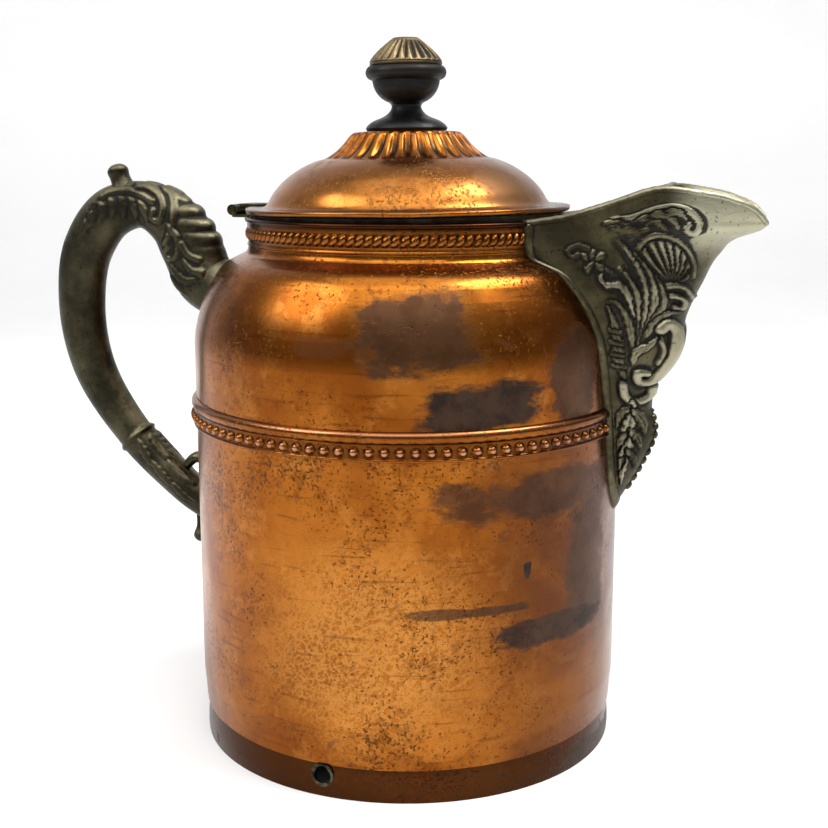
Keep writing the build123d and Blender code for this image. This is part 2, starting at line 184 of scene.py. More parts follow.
camera = bpy.data.cameras.new("camera")
camera.lens = 57.61
camera.sensor_width = 36.0
camera_object = bpy.data.objects.new("camera", camera)
camera_object.location = (0.1413, -0.4545, 0.2096)
camera_object.rotation_euler = (math.radians(78.79), 0.0, view_turn)
bpy.context.scene.collection.objects.link(camera_object)
bpy.context.scene.camera = camera_object
bpy.context.scene.view_settings.view_transform = "Standard"


def soft_light(name, azimuth, elevation, distance, width, height, watts):
    """Hangs a rectangular softbox that faces the pot's middle. Azimuth 0 is +X and distances are metres."""
    lamp = bpy.data.lights.new(name, "AREA")
    lamp.shape = "RECTANGLE"
    lamp.size = width
    lamp.size_y = height
    lamp.energy = watts
    holder = bpy.data.objects.new(name, lamp)
    around, above = math.radians(azimuth), math.radians(elevation)
    pot_middle = 0.12
    out = (math.cos(around) * math.cos(above), math.sin(around) * math.cos(above), math.sin(above))
    holder.location = (distance * out[0], distance * out[1], pot_middle + distance * out[2])
    holder.rotation_euler = (math.pi / 2 - above, 0.0, around + math.pi / 2)
    bpy.context.scene.collection.objects.link(holder)


soft_light("left_softbox", -140, 42, 1.3, 0.7, 0.7, 9)
soft_light("right_softbox", 0, 60, 1.3, 0.5, 0.5, 7)
soft_light("shoulder_light", 25, 57, 1.3, 0.35, 0.35, 6)
soft_light("top_softbox", -80, 80, 1.5, 1.4, 1.0, 7)
soft_light("wall_light", -73, 55, 2.6, 2.0, 1.2, 18)

studio = bpy.data.worlds.new("studio_air")
studio.use_nodes = True
bpy.context.scene.world = studio
tree = studio.node_tree
tree.nodes.clear()
ray = node(tree, "TexCoord").outputs["Generated"]
ray_height = node(tree, "SeparateXYZ", {0: ray}).outputs["Z"]
air_tones = [(0.0, "#b8b8b8"), (0.25, "#9a9a9a"), (0.6, "#e0e0e0"), (1.0, "#f4f4f4")]
air = node(tree, "ValToRGB", {0: ray_height}, stops=air_tones)
lit_air = node(tree, "Background", {"Color": air, "Strength": 0.62})
node(tree, "OutputWorld", {"Surface": lit_air})


# Copper: sheet metal spun and rolled, polished long ago and since tarnished. The eye sees orange metal
# with brown clouds, dark pin-holes, fine rubbing scratches and dull purple-brown islands of old tarnish.
body_radius = 76.2
front_azimuth = -73.0

# Islands of tarnish: how far round from the front, height, half length round, half height, and strength.
tarnish_islands = [
    (22.5, 131.0, 20.5, 8.0, 1.0),
    (4.0, 155.0, 21.0, 13.0, 0.85),
    (62.0, 137.0, 12.0, 16.0, 0.8),
    (47.0, 101.0, 34.0, 7.5, 0.7),
    (54.0, 55.0, 25.0, 5.0, 0.95),
    (20.0, 65.0, 24.0, 1.6, 0.7),
    (40.9, 76.2, 1.6, 3.2, 1.0),
    (70.0, 78.0, 12.0, 26.0, 0.65),
    (-30.0, 150.0, 10.0, 3.5, 0.4),
    (-150.0, 70.0, 30.0, 12.0, 0.8),
    (170.0, 140.0, 24.0, 10.0, 0.7),
    (150.0, 60.0, 18.0, 9.0, 0.8),
]


# Settings of a smooth ramp from one range of values to another, and of a mix of two colours
smooth_ramp = {"interpolation_type": "SMOOTHSTEP"}
colour_mix = {"data_type": "RGBA"}


def cloudy(place, millimetres, detail, roughness, distortion=0.0):
    """Inputs of a noise whose lumps are about this many millimetres across."""
    scale = 1000.0 / (2.0 * millimetres)
    return {0: place, "Scale": scale, "Detail": detail, "Roughness": roughness, "Distortion": distortion}


def copper(name, islands=(), wear_and_light_colours=None, brown=0.08, tone="#6b3c19", spread=1.0):
    """Tarnished copper. Brown is the share of one even tone over it, and spread scales its stray tarnish.

    A piece with colours for dirt and rubbed metal has an attribute that places them, which also carries
    painted shade and painted highlights: 0 in recesses and in painted shade, 1 on rubbed tops and on painted
    highlights.
    """
    made, tree = new_material(name)
    place = node(tree, "TexCoord")
    here, faces = place.outputs["Object"], place.outputs["Normal"]
    apart = node(tree, "SeparateXYZ", {0: here})
    height = apart.outputs["Z"]
    angle = node(tree, "Math", {0: apart.outputs["Y"], 1: apart.outputs["X"]}, operation="ARCTAN2")
    turned = node(tree, "Math", {0: angle, 1: math.radians(front_azimuth)}, operation="SUBTRACT")
    wrapped = node(tree, "Math", {0: turned, 1: math.pi, 2: -math.pi}, operation="WRAP")
    around = node(tree, "Math", {0: wrapped, 1: body_radius / 1000.0}, operation="MULTIPLY")
    unrolled = node(tree, "CombineXYZ", {0: around, 1: height, 2: 0.0})

    # Clouds of heat and handling, from hand-sized down to a few millimetres
    clouds = node(tree, "TexNoise", cloudy(here, 26, 5, 0.6, 0.6))
    mottle = node(tree, "TexNoise", cloudy(here, 5, 6, 0.7))
    light_clouds = node(tree, "TexNoise", cloudy(here, 9, 8, 0.75, 0.3))
    share = node(tree, "MapRange", {0: clouds, 1: 0.36, 2: 0.64}, **smooth_ramp)
    colour = node(tree, "Mix", {0: share, 6: "#7f4312", 7: "#a06021"}, **colour_mix).outputs[2]
    share = node(tree, "MapRange", {0: mottle, 1: 0.5, 2: 0.72, 3: 0.0, 4: 0.55}, **smooth_ramp)
    colour = node(tree, "Mix", {0: share, 6: colour, 7: "#7d4316"}, **colour_mix).outputs[2]
    share = node(tree, "MapRange", {0: light_clouds, 1: 0.52, 2: 0.62, 3: 0.0, 4: 0.35}, **smooth_ramp)
    colour = node(tree, "Mix", {0: share, 6: colour, 7: "#b87a38"}, **colour_mix).outputs[2]

    # A crazed lighter patch low on the front: a painted reflection, lightest along fine cracks.
    # Its scale is half sizes per metre
    reflection_middle, reflection_scale, cracks_per_millimetre = (-0.012, 0.052, 0.0), (24.0, 28.0, 0.0), 0.42
    reflection_place = node(tree, "VectorMath", {0: unrolled, 1: reflection_middle}, operation="SUBTRACT")
    reflection_place = node(tree, "VectorMath", {0: reflection_place, 1: reflection_scale}, operation="MULTIPLY")
    reflection_reach = node(tree, "VectorMath", {0: reflection_place}, operation="LENGTH").outputs["Value"]
    reflection_reach = node(tree, "Math", {0: light_clouds, 1: 1.6, 2: reflection_reach}, operation="MULTIPLY_ADD")
    painted_reflection = node(tree, "MapRange", {0: reflection_reach, 1: 1.2, 2: 2.1, 3: 1.0, 4: 0.0}, **smooth_ramp)
    bend = node(tree, "TexNoise", cloudy(here, 2.5, 3, 0.55))
    bent_place = node(tree, "CombineXYZ", {0: bend, 1: bend, 2: bend})
    crazed_place = node(tree, "Mix", {0: 0.012, 4: here, 5: bent_place}, data_type="VECTOR").outputs[1]
    crack_inputs = {"Vector": crazed_place, "Scale": 1000.0 * cracks_per_millimetre}
    cracks = node(tree, "TexVoronoi", crack_inputs, feature="DISTANCE_TO_EDGE")
    share = node(tree, "MapRange", {0: cracks, 1: 0.05, 2: 0.22, 3: 0.55, 4: 0.12}, **smooth_ramp)
    share = node(tree, "Math", {0: painted_reflection, 1: share}, operation="MULTIPLY")
    colour = node(tree, "Mix", {0: share, 6: colour, 7: "#c48a46"}, **colour_mix).outputs[2]

    # Painted shade: the side towards the spout is painted darker, standing in for the darker room it
    # reflects. The painted shade starts further round above the belt, and it fades towards the back
    lag = node(tree, "MapRange", {0: height, 1: 0.115, 2: 0.125, 3: 0.0, 4: 0.034}, **smooth_ramp)
    past_lag = node(tree, "Math", {0: around, 1: lag}, operation="SUBTRACT")
    shade = node(tree, "MapRange", {0: past_lag, 1: 0.006, 2: 0.05, 3: 0.0, 4: 0.97}, **smooth_ramp)
    fade = node(tree, "MapRange", {0: around, 1: 0.11, 2: 0.21, 3: 1.0, 4: 0.0}, **smooth_ramp)
    shade = node(tree, "Math", {0: shade, 1: fade}, operation="MULTIPLY")
    share = node(tree, "MapRange", {0: clouds, 1: 0.3, 2: 0.6, 3: 1.0, 4: 0.6}, **smooth_ramp)
    shade = node(tree, "Math", {0: shade, 1: share}, operation="MULTIPLY")
    colour = node(tree, "Mix", {0: shade, 6: colour, 7: "#4f2f1c"}, **colour_mix).outputs[2]
    colour = node(tree, "Mix", {0: brown, 6: colour, 7: tone}, **colour_mix).outputs[2]

    # Islands of dull tarnish: oblongs with rounded corners, whose edges noise pushes in and out
    smeared = node(tree, "Mapping", {"Vector": unrolled, "Scale": (0.4, 1.0, 1.0)})
    ragged = node(tree, "TexNoise", cloudy(smeared, 3.0, 8, 0.75))
    drift = node(tree, "TexNoise", cloudy(here, 12, 4, 0.55))
    edge = node(tree, "Math", {0: ragged, 1: drift}, operation="ADD")
    tarnish = 0.0
    for turn, level, half_length, half_height, strength in islands:
        middle, scale = (turn / 1000, level / 1000, 0), (1000 / half_length, 1000 / half_height, 0)
        offset = node(tree, "VectorMath", {0: unrolled, 1: middle}, operation="SUBTRACT")
        offset = node(tree, "VectorMath", {0: offset, 1: scale}, operation="MULTIPLY")
        offset = node(tree, "VectorMath", {0: offset}, operation="ABSOLUTE")
        sides = node(tree, "SeparateXYZ", {0: offset})
        long_side = node(tree, "Math", {0: sides.outputs["X"], 1: 4.0}, operation="POWER")
        high_side = node(tree, "Math", {0: sides.outputs["Y"], 1: 4.0}, operation="POWER")
        reach = node(tree, "Math", {0: long_side, 1: high_side}, operation="ADD")
        reach = node(tree, "Math", {0: reach, 1: 0.25}, operation="POWER")
        reach = node(tree, "Math", {0: edge, 1: 1.5, 2: reach}, operation="MULTIPLY_ADD")
        island = node(tree, "MapRange", {0: reach, 1: 2.25, 2: 2.6, 3: strength, 4: 0.0}, **smooth_ramp)
        tarnish = node(tree, "Math", {0: tarnish, 1: island}, operation="MAXIMUM")
    stray = node(tree, "TexNoise", cloudy(here, 11, 9, 0.72, 0.4))
    stray = node(tree, "MapRange", {0: stray, 1: 0.62, 2: 0.67, 3: 0.0, 4: 0.5 * spread}, **smooth_ramp)
    tarnish = node(tree, "Math", {0: tarnish, 1: stray}, operation="MAXIMUM")
    share = node(tree, "MapRange", {0: mottle, 1: 0.4, 2: 0.6}, **smooth_ramp)
    dull = node(tree, "Mix", {0: share, 6: "#281b12", 7: "#3f2c1e"}, **colour_mix).outputs[2]
    colour = node(tree, "Mix", {0: tarnish, 6: colour, 7: dull}, **colour_mix).outputs[2]

    # Pin-holes, smuts and rubbing scratches, all drawn coarser than they are so that they show
    crowd = node(tree, "TexNoise", cloudy(here, 14, 4, 0.55))
    pits = node(tree, "TexNoise", cloudy(here, 0.55, 3, 0.6))
    pits = node(tree, "Math", {0: crowd, 1: 0.5, 2: pits}, operation="MULTIPLY_ADD")
    pits = node(tree, "MapRange", {0: pits, 1: 0.86, 2: 0.97}, **smooth_ramp)
    share = node(tree, "Math", {0: pits, 1: 0.75}, operation="MULTIPLY")
    colour = node(tree, "Mix", {0: share, 6: colour, 7: "#2b170c"}, **colour_mix).outputs[2]
    smut = node(tree, "TexNoise", cloudy(here, 1.8, 6, 0.8))
    smut = node(tree, "Math", {0: crowd, 1: 0.4, 2: smut}, operation="MULTIPLY_ADD")
    smut = node(tree, "MapRange", {0: smut, 1: 0.72, 2: 0.86, 3: 0.0, 4: 0.5}, **smooth_ramp)
    colour = node(tree, "Mix", {0: smut, 6: colour, 7: "#54290f"}, **colour_mix).outputs[2]
    stretched = node(tree, "Mapping", {"Vector": unrolled, "Scale": (0.06, 1.0, 1.0)})
    scratches = node(tree, "TexNoise", cloudy(stretched, 0.9, 3, 0.6, 0.2))
    share = node(tree, "MapRange", {0: scratches, 1: 0.58, 2: 0.7, 3: 0.0, 4: 0.45}, **smooth_ramp)
    colour = node(tree, "Mix", {0: share, 6: colour, 7: "#4e270e"}, **colour_mix).outputs[2]

    # Inside, the copper is tinned
    outward = node(tree, "VectorMath", {0: here, 1: (1.0, 1.0, 0.0)}, operation="MULTIPLY")
    outward = node(tree, "VectorMath", {0: outward}, operation="NORMALIZE")
    radial = node(tree, "VectorMath", {0: outward, 1: faces}, operation="DOT_PRODUCT").outputs["Value"]
    upward = node(tree, "SeparateXYZ", {0: faces}).outputs["Z"]
    outside = node(tree, "Math", {0: upward, 1: 0.6, 2: radial}, operation="MULTIPLY_ADD")
    tinned = node(tree, "MapRange", {0: outside, 1: -0.35, 2: -0.15, 3: 1.0, 4: 0.0}, **smooth_ramp)
    share = node(tree, "MapRange", {0: clouds, 1: 0.35, 2: 0.65}, **smooth_ramp)
    tin = node(tree, "Mix", {0: share, 6: "#6d655a", 7: "#948c80"}, **colour_mix).outputs[2]
    colour = node(tree, "Mix", {0: tinned, 6: colour, 7: tin}, **colour_mix).outputs[2]

    if wear_and_light_colours:
        grime_and_shade, worn_and_highlight = wear_and_light_colours
        wear_and_painted_light = node(tree, "Attribute", attribute_name="wear_and_painted_light").outputs["Fac"]
        # Dark colour in recesses and in painted shade, light colour on rubbed tops and on painted highlights
        share = node(tree, "MapRange", {0: wear_and_painted_light, 1: 0.0, 2: 0.45, 3: 0.9, 4: 0.0}, **smooth_ramp)
        colour = node(tree, "Mix", {0: share, 6: colour, 7: grime_and_shade}, **colour_mix).outputs[2]
        share = node(tree, "MapRange", {0: wear_and_painted_light, 1: 0.7, 2: 1.0, 3: 0.0, 4: 0.6}, **smooth_ramp)
        colour = node(tree, "Mix", {0: share, 6: colour, 7: worn_and_highlight}, **colour_mix).outputs[2]

    rough = node(tree, "MapRange", {0: clouds, 1: 0.3, 2: 0.7, 3: 0.31, 4: 0.19}, **smooth_ramp)
    rough = node(tree, "Math", {0: tarnish, 1: 0.25, 2: rough}, operation="MULTIPLY_ADD")
    rough = node(tree, "Math", {0: tinned, 1: 0.2, 2: rough}, operation="MULTIPLY_ADD")
    metal = node(tree, "Math", {0: tarnish, 1: -0.25, 2: 1.0}, operation="MULTIPLY_ADD")
    dents = node(tree, "TexNoise", cloudy(here, 22, 2, 0.55))
    bump = node(tree, "Bump", {"Strength": 0.35, "Distance": 0.0012, "Height": dents})
    bump = node(tree, "Bump", {"Strength": 0.25, "Distance": 0.00012, "Height": mottle, "Normal": bump})
    pitted = {"Strength": 0.5, "Distance": 0.0002, "Height": pits, "Normal": bump}
    bump = node(tree, "Bump", pitted, invert=True)
    finish_material(tree, {"Base Color": colour, "Metallic": metal, "Roughness": rough, "Normal": bump})
    return made


def dress(names, finish):
    """Gives CAD nodes a material."""
    for name in names:
        shown = frame["nodes"][name]
        if not shown.material_slots:
            shown.data.materials.append(finish)
        for held in shown.material_slots:
            held.material = finish


body_copper = copper("tarnished_copper_body", islands=tarnish_islands)
dress(["lower_body", "shoulder_shell", "bottom_plate"], body_copper)
foot_islands = [(86.0, 3.0, 28.0, 5.0, 0.9)]
foot_copper = copper("tarnished_copper_foot", islands=foot_islands, brown=0.94, tone="#3a2110", spread=2.0)
dress(["foot_band"], foot_copper)


# The belt: a stamped copper moulding soldered over the body's seam. A flat strip carries a row of
# pearls between a thin lip below and a half-round roll above.
pearl_count, pearl_radius, pearl_level = 99, 1.45, 118.0


def revolve(radius, level, azimuth):
    """Turns a profile round the pot's axis: radius and level may vary with the azimuth, in radians."""
    radius, level = np.broadcast_arrays(radius, level)
    return np.stack([radius * np.cos(azimuth), radius * np.sin(azimuth), level], axis=-1)


def keep_attribute(piece, name, values):
    """Stores one value for each point of a piece."""
    held = piece.data.attributes.new(name, "FLOAT", "POINT")
    held.data.foreach_set("value", values.astype(np.float32).ravel())


belt_low, belt_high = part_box("belt_band")[0][2] * 1000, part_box("belt_band")[1][2] * 1000
roll_radius, roll_flatness, strip_proud, lip_radius, lip_proud, edge_sink = 2.0, 0.85, 0.75, 0.63, 0.55, 0.3
pearl_rise, moat_depth, moat_share = 1.35, 0.2, 1.15
roll_level = belt_high - roll_radius
belt_azimuth = np.linspace(0, 2 * math.pi, pearl_count * 12, endpoint=False)[:, None]
lip_arc = np.linspace(-math.pi / 2, math.pi / 2, 7)
roll_arc = np.linspace(-math.pi * 0.45, math.pi / 2, 14)
strip_level = np.linspace(belt_low + 2 * lip_radius, roll_level - roll_radius, 22)
belt_radius = np.concatenate(
    [
        [body_radius - edge_sink],
        body_radius + lip_proud + lip_radius * np.cos(lip_arc),
        np.full(len(strip_level), body_radius + strip_proud),
        body_radius + roll_radius * roll_flatness * np.cos(roll_arc),
        [body_radius - edge_sink],
    ]
)
belt_level = np.concatenate(
    [
        [belt_low],
        belt_low + lip_radius * (1 + np.sin(lip_arc)),
        strip_level,
        roll_level + roll_radius * np.sin(roll_arc),
        [belt_high],
    ]
)
pearl_phase = (belt_azimuth * pearl_count / (2 * math.pi)) % 1.0 - 0.5
pearl_across = pearl_phase * 2 * math.pi * body_radius / pearl_count
pearl_shape = 1 - (pearl_across**2 + (belt_level[None, :] - pearl_level) ** 2) / pearl_radius**2
pearl_height = np.sqrt(np.clip(pearl_shape, 0, None))
pearl_moat = np.exp(-((np.sqrt(np.clip(1 - pearl_shape, 0, None)) - moat_share) ** 2) / 0.02)
pearled_radius = belt_radius[None, :] + pearl_rise * pearl_height - moat_depth * pearl_moat
belt_points = revolve(pearled_radius, belt_level[None, :], belt_azimuth)
belt = surface("belt", belt_points, wrap_rows=True, wrap_columns=True)
on_strip = (belt_level > strip_level[0]) & (belt_level < strip_level[-1])
belt_wear = np.where(on_strip, 0.22 + 0.75 * pearl_height - 0.2 * pearl_moat, 0.6)
# The roll's top is given the light rubbed colour: a painted highlight.
roll_painted_highlight = np.exp(-((belt_level - roll_level - 0.6 * roll_radius) ** 2) / 0.5)
keep_attribute(belt, "wear_and_painted_light", np.clip(belt_wear + 0.25 * roll_painted_highlight, 0, 1))
belt_copper = copper("tarnished_copper_belt", wear_and_light_colours=("#2c170c", "#c8977a"), brown=0.4)
belt.data.materials.append(belt_copper)
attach(belt, "pot")
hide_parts("belt_band")


# The neck collar: spun copper, with a rope band rolled into it under the rim's bead.
# Each strand of the rope is a slanting lozenge, coloured darker round it.
strand_count, strand_slant, strand_rise, band_rise = 120, 0.495, 0.6, 0.35
collar_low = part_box("neck_collar")[0][2] * 1000
rim_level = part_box("neck_collar")[1][2] * 1000
neck_radius, rope_level, rope_half_height = 56.5, rim_level - 5.6, 2.1
seam_level, seam_rise, sheet, bead_radius, bead_proud = rim_level - 9.8, 0.35, 1.0, 0.9, 0.2
collar_azimuth = np.linspace(0, 2 * math.pi, strand_count * 10, endpoint=False)[:, None]
outer_level = np.linspace(seam_level, rim_level - 2 * bead_radius, 36)
bead_arc = np.linspace(-math.pi / 2, math.pi, 14)
collar_level = np.concatenate(
    [
        [collar_low, collar_low, seam_level],
        outer_level,
        rim_level - bead_radius + bead_radius * np.sin(bead_arc),
        [seam_level + 1.0],
    ]
)
collar_radius = np.concatenate(
    [
        [neck_radius - 2 * sheet, neck_radius - sheet - 0.05, neck_radius - sheet],
        neck_radius + seam_rise * np.exp(-((outer_level - seam_level - 0.5) ** 2) / 0.15),
        neck_radius + bead_proud + bead_radius * np.cos(bead_arc),
        [neck_radius - sheet],
    ]
)
rope_share = (collar_level[None, :] - rope_level) / rope_half_height
strand_phase = (collar_azimuth * strand_count / (2 * math.pi) - strand_slant * rope_share / 2) % 1.0 - 0.5
strand = np.sqrt(np.clip(1 - (strand_phase / 0.4) ** 2 - np.abs(rope_share / 0.92) ** 2.5, 0, None))
place_in_profile = np.arange(len(collar_level))
on_outside = (place_in_profile >= 3) & (place_in_profile < 3 + len(outer_level))
strand = strand * on_outside[None, :]
band_swell = band_rise * np.clip(1 - rope_share**2, 0, None) * on_outside[None, :]
roped_radius = collar_radius[None, :] + strand_rise * strand + band_swell
collar_points = revolve(roped_radius, collar_level[None, :], collar_azimuth)
collar = surface("neck_collar_rope", collar_points, wrap_rows=True, wrap_columns=True)
rope_zone = np.clip(1.15 - np.abs(rope_share), 0, 0.25) * 4 * on_outside[None, :]
# The collar above the rope, under the lid's flange, gets the dark recess colour: painted shade under the lid.
painted_shade_under_lid = np.clip((collar_level[None, :] - rope_level - 2.6) / 1.2, 0, 1)
keep_attribute(collar, "wear_and_painted_light", np.clip((0.5 - 0.42 * rope_zone + 0.7 * strand) * (1 - painted_shade_under_lid), 0, 1))
collar_copper = copper("tarnished_copper_collar", wear_and_light_colours=("#24110a", "#b87038"), brown=0.45)
collar.data.materials.append(collar_copper)
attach(collar, "pot")
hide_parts("neck_collar")


# The lid: one spun copper sheet with a hemmed flange, a low dome and a cone with pressed flutes.
# It is drawn about its own axis, which leans back a little because the lid rests on the solder in front.
lid_tilt = math.radians(0.7)
hinge_place = np.array(frame["joints"][0]["pos_m"]) * 1000
lid_foot = hinge_place + np.array([math.cos(lid_tilt), 0.0, math.sin(lid_tilt)]) * -hinge_place[0]


def on_lid(points):
    """Carries points drawn about the lid's own axis to their place on the pot."""
    forward = np.array([math.cos(lid_tilt), 0.0, math.sin(lid_tilt)])
    side = np.array([0.0, 1.0, 0.0])
    up = np.array([-math.sin(lid_tilt), 0.0, math.cos(lid_tilt)])
    return lid_foot + points[..., :1] * forward + points[..., 1:2] * side + points[..., 2:] * up


def rounded(points, reach, steps=6):
    """Rounds a broken line's corners: each becomes a quadratic curve that starts and ends a reach away."""
    points = np.array(points, dtype=float)
    before = points[:-2] - points[1:-1]
    after = points[2:] - points[1:-1]
    lengths_before = np.linalg.norm(before, axis=1, keepdims=True)
    lengths_after = np.linalg.norm(after, axis=1, keepdims=True)
    start = points[1:-1] + before / lengths_before * np.minimum(reach, lengths_before * 0.45)
    end = points[1:-1] + after / lengths_after * np.minimum(reach, lengths_after * 0.45)
    share = np.linspace(0, 1, steps)[None, :, None]
    curve = (1 - share) ** 2 * start[:, None] + 2 * share * (1 - share) * points[1:-1, None]
    curve = curve + share**2 * end[:, None]
    return np.concatenate([points[:1], curve.reshape(-1, points.shape[1]), points[-1:]])


def evenly(points, count):
    """Spaces points evenly along a line through the given ones."""
    steps = np.concatenate([[0], np.cumsum(np.linalg.norm(np.diff(points, axis=0), axis=1))])
    at = np.linspace(0, steps[-1], count)
    return np.stack([np.interp(at, steps, points[:, axis]) for axis in range(points.shape[1])], axis=1)


# Radius and level of the lid's turned profile: over the cone, the dome, the flange and its hem, and then
# back inside
flute_count, flute_inner, flute_outer, cone_top = 30, 18.3, 29.0, 26.4
flute_cut, cut_inward, cut_downward = 1.25, 0.7, 0.75
flange_start, hem_start, hem_swing = 50.6, 56.4, 0.25
outside_rows, inside_rows = 110, 40
outside_corners = [
    (2.3, 26.9), (17.6, 26.9), (19.6, 26.2), (23.5, 21.2), (28.8, 17.6),
    (31.0, 17.4), (36.5, 15.2), (42.5, 11.4), (47.2, 6.6), (49.6, 2.2),
    (51.2, 1.1), (57.2, 1.1), (57.4, 0.0), (56.8, -1.1), (54.9, -1.1),
]
inside_corners = [
    (54.9, 0.0), (50.4, 0.1), (48.4, 2.0), (46.2, 6.0), (41.8, 10.5), (36.0, 14.2),
    (30.6, 16.4), (28.0, 16.6), (22.8, 20.4), (18.8, 25.4), (17.2, 25.9), (2.3, 25.9),
]
lid_outside = evenly(rounded(outside_corners, 3.0), outside_rows)
lid_inside = evenly(rounded(inside_corners, 2.0), inside_rows)
lid_profile = np.concatenate([lid_outside, lid_inside])
lid_radius, lid_level = lid_profile[:, 0], lid_profile[:, 1]
lid_azimuth = np.linspace(0, 2 * math.pi, flute_count * 18, endpoint=False)[:, None]
flute_share = np.clip((lid_radius - flute_inner) / (flute_outer - flute_inner), 0, 1)
flute_room = np.sin(math.pi * flute_share) ** 0.6
flute_room[lid_level > cone_top] = 0.0
flute_wave = np.clip(0.5 + 0.75 * np.cos(lid_azimuth * flute_count), 0, 1)
flute_depth = flute_cut * flute_room[None, :] * flute_wave
flutes_out = np.where(np.arange(len(lid_profile)) < outside_rows, 1.0, 0.8)[None, :]
fluted_radius = lid_radius[None, :] - cut_inward * flute_depth * flutes_out
fluted_level = lid_level[None, :] - cut_downward * flute_depth * flutes_out
lid_points = revolve(fluted_radius, fluted_level, lid_azimuth)

# The hem is a little wavy from use
hem_wave = hem_swing * np.sin(3 * lid_azimuth + 0.6) * np.clip((lid_radius[None, :] - 52) / 5, 0, 1)
lid_points[..., 2] += np.abs(hem_wave)
lid = surface("fluted_lid", on_lid(lid_points), wrap_rows=True, wrap_columns=True)
hem_edge = (np.clip((lid_radius - hem_start) / 0.6, 0, 1) * (lid_level > 0))[None, :]
on_flange = np.clip((lid_radius - flange_start) / 1.5, 0, 1)[None, :]
# The lid is coloured darker in the flutes, over the flange and under the hem, and lighter along the hem's top
# edge.
lid_dark_and_light = 0.82 - 0.84 * flute_room[None, :] * flute_wave - 0.72 * on_flange + 0.6 * hem_edge
keep_attribute(lid, "wear_and_painted_light", np.clip(lid_dark_and_light, 0, 1))
lid_islands = [(58.0, 198.0, 18.0, 6.0, 0.7)]
lid_copper = copper("tarnished_copper_lid", islands=lid_islands, wear_and_light_colours=("#2b2618", "#b98448"))
lid.data.materials.append(lid_copper)
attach(lid, "lid")
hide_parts("lid_shell")


# Under the lid a tinned copper skirt drops into the neck, and a washer and nut hold the knob's bolt.
def dull_metal(name, dark, light, roughness, lump):
    """A plain metal with clouds of two tones, in lumps of this many millimetres."""
    made, tree = new_material(name)
    here = node(tree, "TexCoord").outputs["Object"]
    clouds = node(tree, "TexNoise", cloudy(here, lump, 6, 0.65))
    share = node(tree, "MapRange", {0: clouds, 1: 0.35, 2: 0.65}, **smooth_ramp)
    colour = node(tree, "Mix", {0: share, 6: dark, 7: light}, **colour_mix).outputs[2]
    bump = node(tree, "Bump", {"Strength": 0.4, "Distance": 0.0002, "Height": clouds})
    smoothing = {0: clouds, 1: 0.3, 2: 0.7, 3: roughness + 0.1, 4: roughness - 0.08}
    rough = node(tree, "MapRange", smoothing, **smooth_ramp)
    finish_material(tree, {"Base Color": colour, "Metallic": 1.0, "Roughness": rough, "Normal": bump})
    return made


# The skirt's tin is painted dark: painted shade for the gap under the lid's flange.
dress(["lid_skirt"], dull_metal("tinned_copper", "#2b241d", "#4a4136", 0.5, 6))
dress(["knob_bolt", "knob_washer", "knob_nut"], dull_metal("dull_steel", "#4c4a47", "#77736d", 0.4, 2))
dress(
    ["hinge_neck_leaf", "hinge_lid_leaf", "hinge_pin"],
    dull_metal("blackened_brass", "#1c1b12", "#4a4528", 0.45, 1.5),
)


# The knob: a foot and stem turned from ebonised wood and polished, a cup of dark stained wood with a
# ring round its top, and a cast bronze cap with flutes, all held on one bolt.
def turned_wood(name, dark, light, roughness):
    """Dark wood turned on a lathe: fine rings of grain under a worn polish."""
    made, tree = new_material(name)
    here = node(tree, "TexCoord").outputs["Object"]
    squeezed = node(tree, "Mapping", {"Vector": here, "Scale": (0.35, 0.35, 2.5)})
    grain = node(tree, "TexNoise", cloudy(squeezed, 1.2, 5, 0.6))
    share = node(tree, "MapRange", {0: grain, 1: 0.4, 2: 0.65}, **smooth_ramp)
    colour = node(tree, "Mix", {0: share, 6: dark, 7: light}, **colour_mix).outputs[2]
    rubs = node(tree, "TexNoise", cloudy(here, 3, 5, 0.7))
    wearing = {0: rubs, 1: 0.35, 2: 0.7, 3: roughness, 4: roughness + 0.2}
    rough = node(tree, "MapRange", wearing, **smooth_ramp)
    bump = node(tree, "Bump", {"Strength": 0.3, "Distance": 0.0001, "Height": grain})
    polish = {"Base Color": colour, "Roughness": rough, "Specular IOR Level": 0.22, "Normal": bump}
    finish_material(tree, polish)
    return made


dress(["knob_foot"], turned_wood("ebonised_wood", "#040405", "#0b0a09", 0.3))
dress(["knob_bowl"], turned_wood("dark_stained_wood", "#080604", "#17120a", 0.42))

cap_base, cap_height, cap_edge, cap_flat, cap_rim = 49.3, 9.4, 12.7, 4.3, 0.6
cap_flute_count, cap_flute_foot, cap_flute_trim = 24, 1.6, 2.4
cap_cut_inward, cap_cut_downward = 1.15, 0.3


def up_the_cap(level):
    """How far up the cap's flutes a level is: 0 at their foot and 1 at their top."""
    return np.clip((level - cap_base - cap_flute_foot) / (cap_height - cap_flute_trim), 0, 1)


def between_cap_flutes(azimuth):
    """How near a direction is to the groove between two flutes: the flutes are arches of a sine."""
    return 1 - np.abs(np.sin(azimuth * cap_flute_count / 2)) ** 0.8


